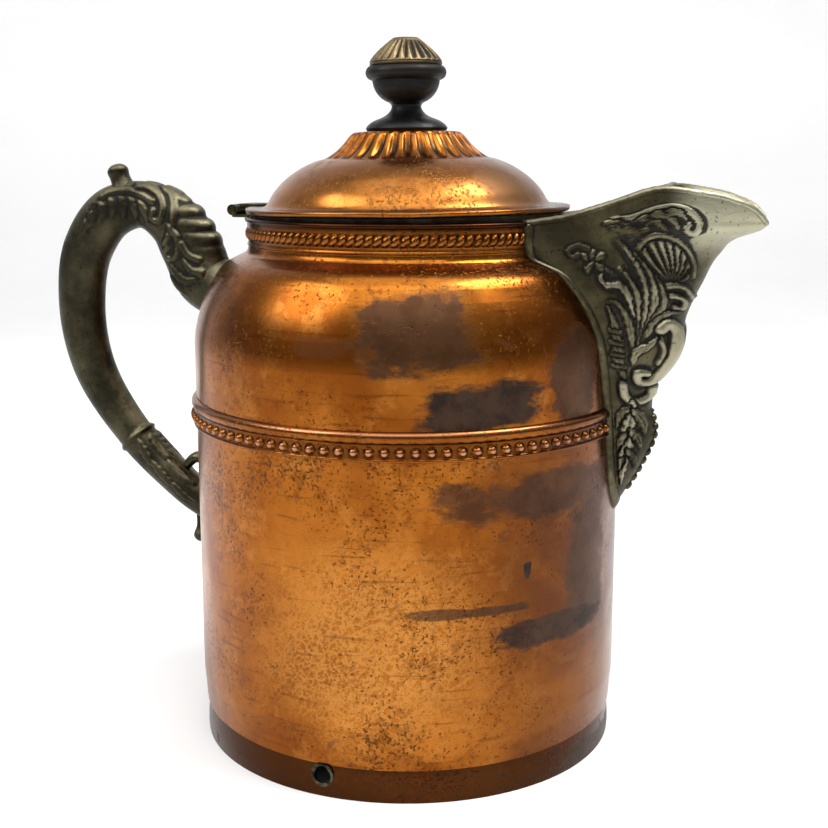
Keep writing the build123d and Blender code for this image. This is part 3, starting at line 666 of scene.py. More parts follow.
climb = np.linspace(0, 1, 40)
cap_side_radius = cap_flat + (cap_edge - cap_flat) * (1 - climb**1.35)
cap_side_level = cap_base + 2 * cap_rim + (cap_height - 2 * cap_rim) * climb
edge_arc = np.linspace(-math.pi / 2, math.pi / 2, 9)
cap_radius = np.concatenate(
    [
        [0.0, 11.6],
        cap_edge - cap_rim + cap_rim * np.cos(edge_arc),
        cap_side_radius,
        [cap_flat - 0.5, 2.0, 0.0],
    ]
)
cap_level = np.concatenate(
    [
        [cap_base, cap_base],
        cap_base + cap_rim + cap_rim * np.sin(edge_arc),
        cap_side_level,
        [cap_base + cap_height - 0.1, cap_base + cap_height - 0.35, cap_base + cap_height - 0.35],
    ]
)
cap_azimuth = np.linspace(0, 2 * math.pi, cap_flute_count * 12, endpoint=False)[:, None]
cap_room = np.where(cap_radius > cap_flat - 0.2, np.sin(math.pi * up_the_cap(cap_level)) ** 0.5, 0.0)
cap_cut = cap_room[None, :] * between_cap_flutes(cap_azimuth)
cut_radius = cap_radius[None, :] - cap_cut_inward * cap_cut
cut_level = cap_level[None, :] - cap_cut_downward * cap_cut
cap = surface("knob_cap_fluted", on_lid(revolve(cut_radius, cut_level, cap_azimuth)), wrap_rows=True)
close_up(cap)


def cast_metal(name, recess, body, worn_and_highlight, pale_lip=None):
    """Cast white metal or bronze: black in its recesses, rubbed bright on its ridges, and lighter where it
    faces up, partly a painted highlight.

    The ridge attribute says how high a point stands and the hollow attribute how deep it lies. A pale lip
    is where it starts, where it is fully pale, both along +X, and its colour.
    """
    made, tree = new_material(name)
    place = node(tree, "TexCoord")
    here, faces = place.outputs["Object"], place.outputs["Normal"]
    ridge = node(tree, "Attribute", attribute_name="ridge").outputs["Fac"]
    hollow = node(tree, "Attribute", attribute_name="hollow").outputs["Fac"]
    clouds = node(tree, "TexNoise", cloudy(here, 8, 6, 0.65))
    crust = node(tree, "TexNoise", cloudy(here, 1.1, 5, 0.7))
    share = node(tree, "MapRange", {0: clouds, 1: 0.35, 2: 0.7}, **smooth_ramp)
    colour = node(tree, "Mix", {0: share, 6: body[0], 7: body[1]}, **colour_mix).outputs[2]
    if pale_lip:
        start, full, pale = pale_lip
        apart = node(tree, "SeparateXYZ", {0: here})
        out, high = apart.outputs["X"], apart.outputs["Z"]
        far_out = node(tree, "MapRange", {0: out, 1: start / 1000, 2: full / 1000}, **smooth_ramp)
        high_up = node(tree, "MapRange", {0: high, 1: 0.172, 2: 0.186}, **smooth_ramp)
        share = node(tree, "Math", {0: far_out, 1: high_up}, operation="MULTIPLY")
        colour = node(tree, "Mix", {0: share, 6: colour, 7: pale}, **colour_mix).outputs[2]

    # Hands have rubbed the ridges bright. Whatever faces up is lighter too: partly rubbing, partly a painted
    # highlight
    rubbed = node(tree, "Math", {0: crust, 1: 0.5, 2: ridge}, operation="MULTIPLY_ADD")
    rubbed = node(tree, "Math", {0: clouds, 1: 0.5, 2: rubbed}, operation="MULTIPLY_ADD")
    rubbed = node(tree, "MapRange", {0: rubbed, 1: 0.98, 2: 1.58, 3: 0.0, 4: 0.78}, **smooth_ramp)
    colour = node(tree, "Mix", {0: rubbed, 6: colour, 7: worn_and_highlight}, **colour_mix).outputs[2]
    upward = node(tree, "SeparateXYZ", {0: faces}).outputs["Z"]
    top_wear_and_highlight = node(tree, "Math", {0: clouds, 1: 1.6, 2: upward}, operation="MULTIPLY_ADD")
    top_wear_and_highlight = node(tree, "MapRange", {0: top_wear_and_highlight, 1: 0.9, 2: 1.7, 3: 0.0, 4: 0.55}, **smooth_ramp)
    colour = node(tree, "Mix", {0: top_wear_and_highlight, 6: colour, 7: worn_and_highlight}, **colour_mix).outputs[2]

    # Dirt lies in the hollows and in small spots
    dirt = node(tree, "Math", {0: crust, 1: 0.5, 2: hollow}, operation="MULTIPLY_ADD")
    share = node(tree, "MapRange", {0: dirt, 1: 0.33, 2: 0.68, 3: 0.0, 4: 0.94}, **smooth_ramp)
    colour = node(tree, "Mix", {0: share, 6: colour, 7: recess}, **colour_mix).outputs[2]
    spots = node(tree, "TexNoise", cloudy(here, 0.7, 3, 0.55))
    spots = node(tree, "MapRange", {0: spots, 1: 0.62, 2: 0.7}, **smooth_ramp)
    spots = node(tree, "Math", {0: spots, 1: 0.6}, operation="MULTIPLY")
    colour = node(tree, "Mix", {0: spots, 6: colour, 7: recess}, **colour_mix).outputs[2]

    rough = node(tree, "MapRange", {0: clouds, 1: 0.3, 2: 0.7, 3: 0.42, 4: 0.3}, **smooth_ramp)
    rough = node(tree, "Math", {0: dirt, 1: 0.25, 2: rough}, operation="MULTIPLY_ADD")
    bump = node(tree, "Bump", {"Strength": 0.6, "Distance": 0.0004, "Height": crust})
    metal = node(tree, "MapRange", {0: dirt, 1: 0.3, 2: 0.9, 3: 1.0, 4: 0.6}, **smooth_ramp)
    finish_material(tree, {"Base Color": colour, "Metallic": metal, "Roughness": rough, "Normal": bump})
    return made


# The cap's middle points are merged into one, so its wear is worked out again from the mesh's own points
cap_points = np.empty(len(cap.data.vertices) * 3)
cap.data.vertices.foreach_get("co", cap_points)
cap_points = cap_points.reshape(-1, 3) * 1000 - lid_foot
cap_turn = np.arctan2(cap_points[:, 1], cap_points[:, 0])
on_flutes = np.sin(math.pi * up_the_cap(cap_points[:, 2])) > 0.15
cap_groove = between_cap_flutes(cap_turn) * on_flutes
keep_attribute(cap, "hollow", cap_groove * 0.8)
keep_attribute(cap, "ridge", 0.45 - 0.5 * cap_groove)
cap.data.materials.append(cast_metal("cast_bronze", "#120e08", ("#40372a", "#5a4d38"), "#8d7b5a"))
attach(cap, "lid")
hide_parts("knob_cap")


# The spout: a hollow white-metal casting. Its section bows out from the wall to a keel, it flares into an
# open lip, and each side carries leaf sprays, a shell and scrolls. A hood roofs it as far as the cross roll.

# Its sections from the tip up: depth under the neck's rim, how far its sides start inside the body's
# radius, its half width, and how far the keel stands out from the body
spout_sections = np.array(
    [
        (103.0, 3.0, 2.5, -1.5),
        (94.5, 1.5, 7.0, 4.0),
        (83.3, 1.4, 11.0, 10.0),
        (72.5, 1.6, 13.5, 13.8),
        (64.0, 1.8, 15.5, 12.3),
        (54.8, 2.3, 18.0, 13.8),
        (44.0, 3.2, 21.0, 20.6),
        (31.6, 5.0, 23.5, 23.0),
        (20.7, 11.0, 26.0, 27.7),
        (11.2, 20.0, 27.5, 32.8),
        (5.8, 26.5, 28.4, 38.4),
        (3.0, 27.0, 28.4, 46.0),
        (-0.5, 27.0, 28.4, 48.1),
        (-12.0, 27.0, 28.4, 49.1),
    ]
)
spout_depths, spout_insets, spout_half_widths, spout_keels = spout_sections.T
spout_levels = rim_level - spout_depths

# The spout's rim: its reach past the body's radius and its rise over the neck's rim
spout_rim_reach = np.array([-45.0, -28.0, -16.0, -2.0, 16.0, 25.5, 37.0, 44.5, 48.1])
spout_rim_rise = np.array([-2.0, -0.9, 0.7, 4.9, 10.2, 9.2, 6.7, 2.9, -1.6])
spout_wall, hood_end, bow_power, side_power = 2.0, 16.0, 1.4, 1.22


def through(at, places, values):
    """A smooth curve through values: a cubic between each two, with the slope of its neighbours' chord."""
    slopes = np.gradient(values, places)
    span = np.clip(np.searchsorted(places, at) - 1, 0, len(places) - 2)
    length = places[span + 1] - places[span]
    share = np.clip((at - places[span]) / length, 0, 1)
    return (
        (2 * share**3 - 3 * share**2 + 1) * values[span]
        + (share**3 - 2 * share**2 + share) * length * slopes[span]
        + (3 * share**2 - 2 * share**3) * values[span + 1]
        + (share**3 - share**2) * length * slopes[span + 1]
    )


def wall_radius(level):
    """The pot's outer radius at a level, read from the outward faces of the shoulder."""
    mesh = frame["nodes"]["shoulder_shell"].data
    points = np.empty(len(mesh.vertices) * 3)
    facing = np.empty(len(mesh.vertices) * 3)
    mesh.vertices.foreach_get("co", points)
    mesh.vertices.foreach_get("normal", facing)
    points, facing = points.reshape(-1, 3) * 1000, facing.reshape(-1, 3)
    radius = np.hypot(points[:, 0], points[:, 1])
    outside = (points[:, 0] * facing[:, 0] + points[:, 1] * facing[:, 1]) > 0.3 * radius
    order = np.argsort(points[outside, 2])
    return np.interp(level, points[outside, 2][order], radius[outside][order])


def fit_on_wall(points, sink=0.5):
    """Pushes points that lie inside the pot out to the middle of its sheet."""
    radius = np.hypot(points[..., 0], points[..., 1])
    least = wall_radius(points[..., 2]) - sink
    grow = np.where(radius < least, least / np.maximum(radius, 1e-6), 1.0)
    return points * np.stack([grow, grow, np.ones_like(grow)], axis=-1)


def ridge_field(across, level, ridges):
    """Height of raised work seen from the side: each ridge is a rounded bar along a smooth line.

    A leaf is widest at its middle, with a lobed edge, a groove along its middle and slanting veins.
    A lobe is widest at its end, and a band narrows a little. A moat parts each ridge from those under it.
    """
    lobe_pitch, vein_pitch, moat_width = 2.9, 1.9, 0.55
    widths = {
        "leaf": lambda along: 0.25 + 0.75 * np.sin(math.pi * along**0.75),
        "lobe": lambda along: 0.3 + 0.7 * along**0.8,
        "band": lambda along: 1.0 - 0.25 * along,
    }
    field = np.zeros_like(across)
    for kind, half_width, rise, line in ridges:
        line = np.array(line, dtype=float)
        steps = np.concatenate([[0], np.cumsum(np.linalg.norm(np.diff(line, axis=0), axis=1))])
        along = np.linspace(0, 1, max(8, int(steps[-1] / 0.5)))
        track_x = through(along * steps[-1], steps, line[:, 0])
        track_z = through(along * steps[-1], steps, line[:, 1])
        near = (
            (across > track_x.min() - 1.3 * half_width)
            & (across < track_x.max() + 1.3 * half_width)
            & (level > track_z.min() - 1.3 * half_width)
            & (level < track_z.max() + 1.3 * half_width)
        )
        if not near.any():
            continue
        squares = (across[near][:, None] - track_x) ** 2 + (level[near][:, None] - track_z) ** 2
        closest = squares.argmin(axis=1)
        reached = along[closest] * steps[-1]
        width = half_width * widths[kind](along[closest])
        if kind == "leaf":
            width *= 1 - 0.13 * (1 + np.cos(2 * math.pi * reached / lobe_pitch))
        distance = np.sqrt(squares[np.arange(len(closest)), closest])
        away = distance / width
        height = rise * (0.3 + 0.7 * np.sqrt(np.clip(1 - away**2, 0, None)))
        if kind == "leaf":
            height -= 0.4 * rise * np.exp(-((away / 0.2) ** 2))
            height -= 0.16 * rise * away * (1 + np.cos(2 * math.pi * (reached / vein_pitch - 0.8 * away)))
        under = field[near]
        moat = (away >= 1) & (distance < width + moat_width)
        field[near] = np.where(away < 1, np.maximum(height, 0.8 * under), np.where(moat, 0.25 * under, under))
    return field


def blurred(field, reach):
    """Averages a field over a square of cells, by running sums along its rows and columns."""
    for axis in (0, 1):
        count, window = field.shape[axis], 2 * reach + 1
        first, last = field.take([0], axis), field.take([-1], axis)
        padded = np.concatenate([np.repeat(first, reach, axis), field, np.repeat(last, reach, axis)], axis)
        sums = np.cumsum(np.concatenate([np.zeros_like(first), padded], axis), axis)
        field = (sums.take(range(window, count + window), axis) - sums.take(range(count), axis)) / window
    return field


def facing_of(points):
    """The direction a grid faces at each point: its step along a row crossed with its step between rows."""
    normal = np.cross(np.gradient(points, axis=1), np.gradient(points, axis=0))
    return normal / np.maximum(np.linalg.norm(normal, axis=-1, keepdims=True), 1e-9)


# The raised work on each side: a kind, a half width, a rise, and a line of places outward and up
spout_ridges = [
    # Spray of leaves under the rim, ending in a curl
    ("band", 1.5, 1.3, [(77, 187.5), (83, 188.5), (90, 191.3), (96, 192), (101, 190),
                        (103.3, 186.5), (101.5, 183.5), (99.5, 184.5), (100, 186.5)]),
    ("leaf", 1.7, 1.2, [(84, 188), (89, 188.3), (92, 186), (93.5, 184.2)]),
    ("leaf", 1.7, 1.2, [(88, 189.5), (93, 189.5), (96, 187), (97, 184.8)]),
    ("leaf", 1.4, 1.0, [(93, 190.8), (97.5, 190), (99.5, 188)]),
    ("leaf", 1.5, 1.0, [(74, 187.3), (79, 186.6), (84, 184.6), (87.5, 185.3), (87, 187)]),
    ("leaf", 1.2, 0.8, [(76, 186), (80, 184.6), (82, 182.8)]),
    ("leaf", 1.2, 0.8, [(80, 185.6), (84, 183.6), (85.5, 181.8)]),
    # The shell
    ("lobe", 1.2, 1.3, [(93.5, 168.5), (89.5, 173), (86.2, 177.8)]),
    ("lobe", 1.2, 1.4, [(94, 169), (91, 175), (88.4, 180.5)]),
    ("lobe", 1.2, 1.5, [(94.6, 169.2), (93, 175.5), (91, 181.6)]),
    ("lobe", 1.2, 1.5, [(95.2, 169.2), (94.9, 175.5), (93.8, 181)]),
    ("lobe", 1.2, 1.5, [(95.8, 169), (96.6, 174.5), (96.4, 179.4)]),
    ("lobe", 1.1, 1.4, [(96.2, 168.6), (98, 173), (98.4, 177)]),
    ("lobe", 1.1, 1.3, [(96.6, 168), (99, 171.2), (100, 174)]),
    ("lobe", 1.0, 1.2, [(97, 167.5), (99.2, 169), (100.6, 171)]),
    ("band", 1.0, 1.2, [(84.5, 179), (87, 182), (91.3, 183.2), (96, 181.6),
                        (99.8, 177.6), (101.4, 172.5), (101, 169)]),
    # The scroll under the shell
    ("band", 1.3, 1.4, [(86.5, 160), (89.5, 163.8), (94, 166.2), (98.5, 165.4), (100.5, 162)]),
    ("band", 1.2, 1.5, [(87.5, 157), (91, 161.3), (95.2, 162.8),
                        (98.4, 160.8), (97.6, 158.3), (95.6, 158.9)]),
    # Fronds that fan up from the middle
    ("leaf", 1.9, 1.7, [(84.6, 147), (84.2, 155), (82.5, 162), (78.5, 166.8),
                        (74.8, 167), (73, 169.2), (74.6, 171.8), (76.6, 170.6)]),
    ("leaf", 1.6, 1.5, [(85.2, 149), (85.6, 157), (84.4, 164), (81.4, 169.5), (78.6, 172.4)]),
    ("leaf", 1.8, 1.6, [(85.8, 150), (87.4, 158), (87.4, 165.5), (85, 172), (81, 178), (77.4, 182.3)]),
    ("leaf", 1.5, 1.5, [(86.3, 150), (89, 157), (89.8, 163), (88.8, 169), (86, 174), (83, 177.6)]),
    ("leaf", 1.4, 1.3, [(86.6, 149.5), (90.2, 156), (92.4, 160), (92, 165), (90, 170)]),
    ("leaf", 1.5, 1.4, [(86.8, 149), (90.5, 154.4), (94, 157), (97.4, 157)]),
    ("leaf", 1.6, 1.3, [(83.2, 145), (82.6, 151), (81, 157), (78, 161), (75.4, 161.4)]),
    # Ladder leaf beside the border
    ("leaf", 2.3, 1.2, [(80.6, 135), (79, 142), (78.4, 149), (77, 156), (75.6, 159.6)]),
    ("band", 0.7, 0.9, [(76.2, 152), (79.8, 151)]),
    ("band", 0.7, 0.9, [(76.4, 148), (80.2, 147)]),
    ("band", 0.7, 0.9, [(76.6, 144), (80.6, 143)]),
    ("band", 0.7, 0.9, [(76.8, 140), (81, 139)]),
    # A small flower near the pot, with its petals, and a scroll
    *[
        ("lobe", 1.3, 1.1, [(70.6, 174.2), petal_end])
        for petal_end in ((68, 176), (70.4, 177.2), (73.2, 176.2), (73, 172.4), (69, 171.8))
    ],
    ("band", 0.9, 0.9, [(69, 178.5), (65.5, 179.6), (62.8, 177.8), (64, 175.8), (66, 176.8)]),
    # The large C-scroll with a volute at each end
    ("band", 1.9, 2.2, [(91.6, 151.6), (93.6, 153.4), (95.6, 151.6), (96, 147), (94.6, 141.5),
                        (91.4, 136.4), (87.4, 133.2), (84.4, 134), (84.6, 137), (87, 136.8)]),
    ("band", 1.0, 1.4, [(91.4, 148.5), (92.4, 144), (90.4, 139.8)]),
    ("band", 1.6, 1.6, [(80, 133), (80.6, 128.8), (84, 126.2), (87.6, 127.6), (88.4, 130.5)]),
    ("leaf", 1.8, 1.4, [(83, 140), (84.6, 144.5), (88, 146), (90.6, 149)]),
    # The hanging leaf with its side lobes
    ("leaf", 3.0, 1.9, [(82.6, 127), (82, 120), (81, 112), (79.6, 104), (78.2, 96)]),
    ("leaf", 1.7, 1.3, [(82.4, 124), (85, 121), (86.6, 117), (86.2, 113.6)]),
    ("leaf", 1.7, 1.3, [(81.6, 117), (84.6, 113.6), (85.4, 109.4)]),
    ("leaf", 1.5, 1.2, [(80.8, 110), (83.2, 106.6), (83.4, 102.6)]),
    ("leaf", 1.5, 1.2, [(81.8, 125), (79, 121.6), (77.8, 117)]),
    ("leaf", 1.4, 1.2, [(81.2, 116), (78.8, 112.6), (77.6, 108.6)]),
    ("leaf", 1.3, 1.1, [(80.2, 107), (78, 103.6), (77.4, 100)]),
]

bow_columns, flank_columns, spout_rows = 251, 18, 270
bow = np.linspace(-1, 1, bow_columns)
flank = np.linspace(1, 0, flank_columns, endpoint=False)
turn = np.concatenate([np.full(flank_columns, -1.0), bow, np.full(flank_columns, 1.0)])
flank_share = np.concatenate([flank, np.zeros(bow_columns), flank[::-1]])


def spout_outside(level, turn, flank_share):
    """A point of the spout's plain outside: bowed from one flank round the keel, straight along the flanks.

    Turn runs from -1 at one flank over 0 at the keel to 1. Flank_share runs along a flank, 1 at the wall.
    """
    start = body_radius - through(level, spout_levels, spout_insets)
    side = through(level, spout_levels, spout_half_widths)
    keel = body_radius + through(level, spout_levels, spout_keels)
    bend = turn * math.pi / 2
    x = start + (keel - start) * np.abs(np.cos(bend)) ** bow_power
    y = side * np.sign(bend) * np.abs(np.sin(bend)) ** side_power
    wall = np.sqrt(np.clip(wall_radius(level) ** 2 - side**2, 0, None)) - 0.6
    x = x + flank_share * np.minimum(wall - start, 0)
    return np.stack([x, y, level + 0 * x], axis=-1)


probe_level = np.linspace(spout_levels[0] + 1, spout_levels[-1] - 0.1, 700)
probe = spout_outside(probe_level[:, None], turn[None, :], flank_share[None, :])
rim_at_probe = rim_level + through(probe[..., 0] - body_radius, spout_rim_reach, spout_rim_rise)
below_rim = np.cumprod(probe[..., 2] < rim_at_probe, axis=0).sum(axis=0)
top_level = probe_level[np.clip(below_rim - 1, 0, len(probe_level) - 1)]
keel_column = flank_columns + bow_columns // 2
keel_line = probe[: below_rim[keel_column], keel_column]
keel_steps = np.concatenate([[0], np.cumsum(np.linalg.norm(np.diff(keel_line, axis=0), axis=1))])
climb = np.interp(np.linspace(0, keel_steps[-1], spout_rows), keel_steps, keel_line[:, 2])
climb = (climb - climb[0]) / (climb[-1] - climb[0])
spout_level = probe_level[0] + climb[:, None] * (top_level[None, :] - probe_level[0])
plain = spout_outside(spout_level, turn[None, :], flank_share[None, :])
outward = facing_of(plain)
relief = ridge_field(plain[..., 0], plain[..., 2], spout_ridges)

# Beads down the lower keel
bead_pitch, bead_low, bead_high, bead_half_width, bead_rise = 3.1, 93.0, 122.0, 1.7, 1.2
bead_phase = (plain[..., 2] / bead_pitch) % 1.0 - 0.5
bead_shape = 1 - (plain[..., 1] / bead_half_width) ** 2 - (bead_phase / 0.47) ** 2
bead_zone = (plain[..., 2] > bead_low) & (plain[..., 2] < bead_high)
relief = np.maximum(relief, bead_rise * np.sqrt(np.clip(bead_shape, 0, None)) * bead_zone)

# A smooth border runs along the edge that lies on the pot, with a groove beside it
border_rise, border_middle, border_half_width, border_zone = 0.9, 0.5, 1.5, 2.8
off_wall = np.hypot(plain[..., 0], plain[..., 1]) - wall_radius(plain[..., 2])
border = border_rise * np.clip(1 - ((off_wall - border_middle) / border_half_width) ** 2, 0, None) ** 0.5
relief = np.where(off_wall < border_zone, np.maximum(border, 0.3 * relief), relief)

# What lies lower than its surroundings is a hollow, cut a little deeper, and the rest is softened
hollow = np.clip(blurred(relief, 3) - relief, 0, None) / 0.55
relief = 0.5 * (relief + blurred(relief, 1))
raised = fit_on_wall(plain + outward * (0.9 * relief - 0.3 * np.clip(hollow, 0, 1))[..., None])

# The rim is a round roll, carried along the top row square to it
rim_across = np.gradient(raised[-1], axis=0)
rim_up = np.cross(outward[-1], rim_across)
rim_up *= np.sign(rim_up[:, 2:3] + 1e-9)
rim_up /= np.linalg.norm(rim_up, axis=1, keepdims=True)
roll_turns = np.linspace(-0.35, math.pi + 0.2, 10)[:, None, None]
roll_middle = plain[-1] - outward[-1] * spout_wall / 2
rim_roll_radius = spout_wall / 2 + 0.55
roll = roll_middle + rim_roll_radius * (outward[-1] * np.cos(roll_turns) + rim_up * np.sin(roll_turns))

# Inside, a coarser wall goes back down from the rim
inner_rows = np.arange(spout_rows - 2, spout_rows // 4, -7)
inner = plain[inner_rows] - outward[inner_rows] * spout_wall
spout_points = np.concatenate([raised, fit_on_wall(roll), fit_on_wall(inner)])
spout = surface("cast_spout", spout_points, wrap_rows=True)
spare = len(roll) + len(inner)
roll_ridge = np.full((spare, relief.shape[1]), 0.5)
roll_ridge[len(roll):] = 0.1
keep_attribute(spout, "ridge", np.concatenate([np.clip(relief / 1.6, 0, 1), roll_ridge]))
keep_attribute(spout, "hollow", np.concatenate([np.clip(hollow, 0, 1), np.zeros((spare, relief.shape[1]))]))
close_up(spout)
lip_tone = (92.0, 105.0, "#a6a38c")
spout_metal = cast_metal("cast_white_metal_spout", "#0f0d08", ("#322e20", "#524c37"), "#a39d84", lip_tone)
spout.data.materials.append(spout_metal)
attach(spout, "pot")
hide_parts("spout")

# The hood: its roof runs level across from rim to rim, a little crowned, and ends in a cross roll
roof_rows, hood_columns = 60, 61
half = slice(flank_columns, keel_column + 1)
rim_side = np.abs(plain[-1, half, 1])
rim_out = plain[-1, half, 0]
hood_reach = body_radius + hood_end
cross_arc = np.linspace(0, math.pi, 8)
roof_run = np.linspace(neck_radius - 8, hood_reach, roof_rows)
hood_x = np.concatenate([roof_run, hood_reach + 1.3 * np.sin(cross_arc)])
hood_rise = np.concatenate([np.zeros(roof_rows), 1.1 * np.cos(cross_arc) + 0.2])
hood_half = np.interp(hood_x, rim_out, rim_side) - spout_wall * 0.5
hood_across = np.linspace(-1, 1, hood_columns)
hood_y = hood_half[:, None] * hood_across[None, :]
neck_line = np.sqrt(np.clip((neck_radius + 1.0) ** 2 - hood_y**2, 0, None))
hood_xs = np.maximum(hood_x[:, None], neck_line)
hood_z = rim_level + through(hood_xs - body_radius, spout_rim_reach, spout_rim_rise) + hood_rise[:, None]
hood_z = hood_z + 0.9 * (1 - hood_across[None, :] ** 2) * np.clip((hood_xs - 62) / 20, 0, 1)
hood_top = np.stack([hood_xs, hood_y, hood_z], axis=-1)
hood_under = hood_top[::-1] - np.array([0, 0, spout_wall])
hood = surface("spout_hood", np.concatenate([hood_top, hood_under]), wrap_rows=True)
hood_ridge = np.zeros((len(hood_x) * 2, hood_columns))
hood_ridge[roof_rows - 2 : len(hood_x)] = 0.45
keep_attribute(hood, "ridge", hood_ridge)
keep_attribute(hood, "hollow", np.zeros_like(hood_ridge))
close_up(hood)
hood.data.materials.append(spout_metal)
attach(hood, "pot")


# The handle: a solid white-metal casting. An oval bar runs from the shoulder over the top and down the
# grip to the wall. A nub stands up for the thumb, leaves cover its upper side, and a collar ends the grip.

# Stations along the bar: how far out from the body, height over the shoulder's base, and its two half sizes
handle_stations = np.array(
    [
        (-13.0, 2.5, 10.0, 9.0),
        (3.0, 9.0, 11.5, 9.5),
        (9.0, 20.5, 11.8, 9.0),
        (15.0, 29.5, 10.6, 8.5),
        (28.0, 36.3, 8.8, 7.5),
        (41.0, 33.6, 9.6, 7.5),
        (52.5, 20.0, 9.8, 7.5),
        (56.6, -1.0, 9.4, 7.0),
        (53.0, -25.0, 8.5, 6.8),
        (38.5, -49.0, 7.2, 6.3),
        (21.0, -66.5, 6.6, 5.8),
        (9.0, -76.0, 6.0, 5.5),
        (-6.0, -83.0, 5.5, 5.0),
    ]
)
shoulder_base = 153.5
station_x, station_z = -body_radius - handle_stations[:, 0], shoulder_base + handle_stations[:, 1]
station_steps = np.concatenate([[0], np.cumsum(np.hypot(np.diff(station_x), np.diff(station_z)))])
handle_rows, handle_columns = 430, 150
along = np.linspace(0, station_steps[-1], handle_rows)
spine_x = through(along, station_steps, station_x)
spine_z = through(along, station_steps, station_z)
half_depth = through(along, station_steps, handle_stations[:, 2])
half_width = through(along, station_steps, handle_stations[:, 3])
spine_dx, spine_dz = np.gradient(spine_x), np.gradient(spine_z)
spine_speed = np.hypot(spine_dx, spine_dz)
normal_x, normal_z = spine_dz / spine_speed, -spine_dx / spine_speed
round_bar = np.linspace(0, 2 * math.pi, handle_columns, endpoint=False)[None, :]


def handle_bar(swell):
    """The oval bar: at each place of the spine an ellipse across it, grown outwards by a swell."""
    deep = (half_depth[:, None] + swell) * np.cos(round_bar)
    wide = (half_width[:, None] + swell) * np.sin(round_bar)
    bar_x = spine_x[:, None] + normal_x[:, None] * deep
    bar_z = spine_z[:, None] + normal_z[:, None] * deep
    return np.stack([bar_x, wide, bar_z], axis=-1)


handle_ridges = [
    # Leaves and C-scrolls over the bow
    ("band", 1.6, 1.3, [(-122, 190), (-117, 194), (-110, 195.4), (-103, 194.4), (-97, 191.6)]),
    ("leaf", 1.9, 1.3, [(-119, 191), (-118, 187.5), (-119.4, 184)]),
    ("leaf", 1.9, 1.3, [(-115, 192.6), (-113.6, 188.6), (-114.4, 184.8)]),
    ("leaf", 1.9, 1.4, [(-110.6, 193), (-109, 188.6), (-109.4, 184.6)]),
    ("leaf", 1.9, 1.4, [(-106.4, 192.6), (-104.4, 188), (-104.4, 184)]),
    ("leaf", 1.8, 1.3, [(-102.4, 191.4), (-100, 187), (-99.4, 183)]),
    ("leaf", 1.6, 1.2, [(-122.6, 187.6), (-123, 184), (-125, 181)]),
    ("leaf", 1.5, 1.1, [(-125.6, 184), (-126.4, 180.6), (-128.4, 178)]),
    ("band", 1.4, 1.5, [(-104, 197), (-99, 196.2), (-94.4, 193), (-92.6, 188),
                        (-94.6, 184.4), (-97.4, 185.6), (-96.4, 188)]),
    ("band", 1.5, 1.6, [(-94, 197), (-90, 193.6), (-88.4, 187), (-89.6, 180), (-92, 176)]),
    ("band", 1.3, 1.5, [(-89.6, 182), (-86.4, 178), (-86.6, 173),
                        (-89.8, 170.4), (-92.4, 172), (-91.2, 174.6)]),
    ("leaf", 1.8, 1.5, [(-91, 169), (-87.6, 164.6), (-83, 162.6), (-79, 163.4)]),
    ("leaf", 1.7, 1.4, [(-91, 165), (-88, 160), (-84.4, 157.4)]),
    ("lobe", 1.6, 1.3, [(-84, 170), (-80.6, 166.4), (-77.4, 165.6)]),
    ("band", 1.3, 1.3, [(-85, 176), (-82, 172), (-78, 170.4)]),
    # Leaf sleeve below the grip's collar
    ("leaf", 1.6, 1.0, [(-107.6, 100), (-103.4, 93), (-98, 87)]),
    ("leaf", 1.6, 1.0, [(-104, 101.6), (-98.6, 95.4), (-93, 90.4)]),
    ("leaf", 1.6, 1.0, [(-102, 92), (-96.4, 85.6), (-91, 81)]),
    ("leaf", 1.5, 1.0, [(-96, 92), (-90, 86.4), (-85, 83)]),
    ("leaf", 1.4, 1.0, [(-94, 84), (-88.6, 79), (-84, 76.6)]),
]
plain_bar = handle_bar(0.0)
bar_relief = ridge_field(plain_bar[..., 0], plain_bar[..., 2], handle_ridges)

# Ribs cross the shell that faces the lid. A collar goes round the grip, which is thicker below it
rib_rise, rib_pitch, shell_middle, shell_reach = 1.235, 5.2, 36.0, 9.0
toward_lid = np.clip(np.cos(round_bar), 0, 1)
shell_zone = np.exp(-(((along[:, None] - shell_middle) / shell_reach) ** 4))
rib_wave = np.abs(np.sin((plain_bar[..., 2] - 170.0) * math.pi / rib_pitch))
ribs = rib_rise * rib_wave * shell_zone * toward_lid**1.5
collar_place = along[np.argmin(np.hypot(spine_x + 107.8, spine_z - 102.6))]
collar_ring = np.exp(-(((along[:, None] - collar_place) / 0.9) ** 2))
grip_collar = collar_ring + 0.4 * (along[:, None] > collar_place)
bar_relief = blurred(np.maximum(0.7 * bar_relief, ribs), 1)
bar_hollow = np.clip(blurred(bar_relief, 3) - bar_relief, 0, None) / 0.45
bar_points = fit_on_wall(handle_bar(bar_relief - 0.3 * np.clip(bar_hollow, 0, 1) + grip_collar))
handle = surface("cast_handle", bar_points, wrap_columns=True)
keep_attribute(handle, "ridge", np.clip(bar_relief / 1.8 + 0.35 * grip_collar, 0, 1))
keep_attribute(handle, "hollow", np.clip(bar_hollow, 0, 1))
close_up(handle)
handle_metal = cast_metal("cast_white_metal_handle", "#0d0b08", ("#2a271d", "#464231"), "#8a8368")
handle.data.materials.append(handle_metal)
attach(handle, "pot")
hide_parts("handle")


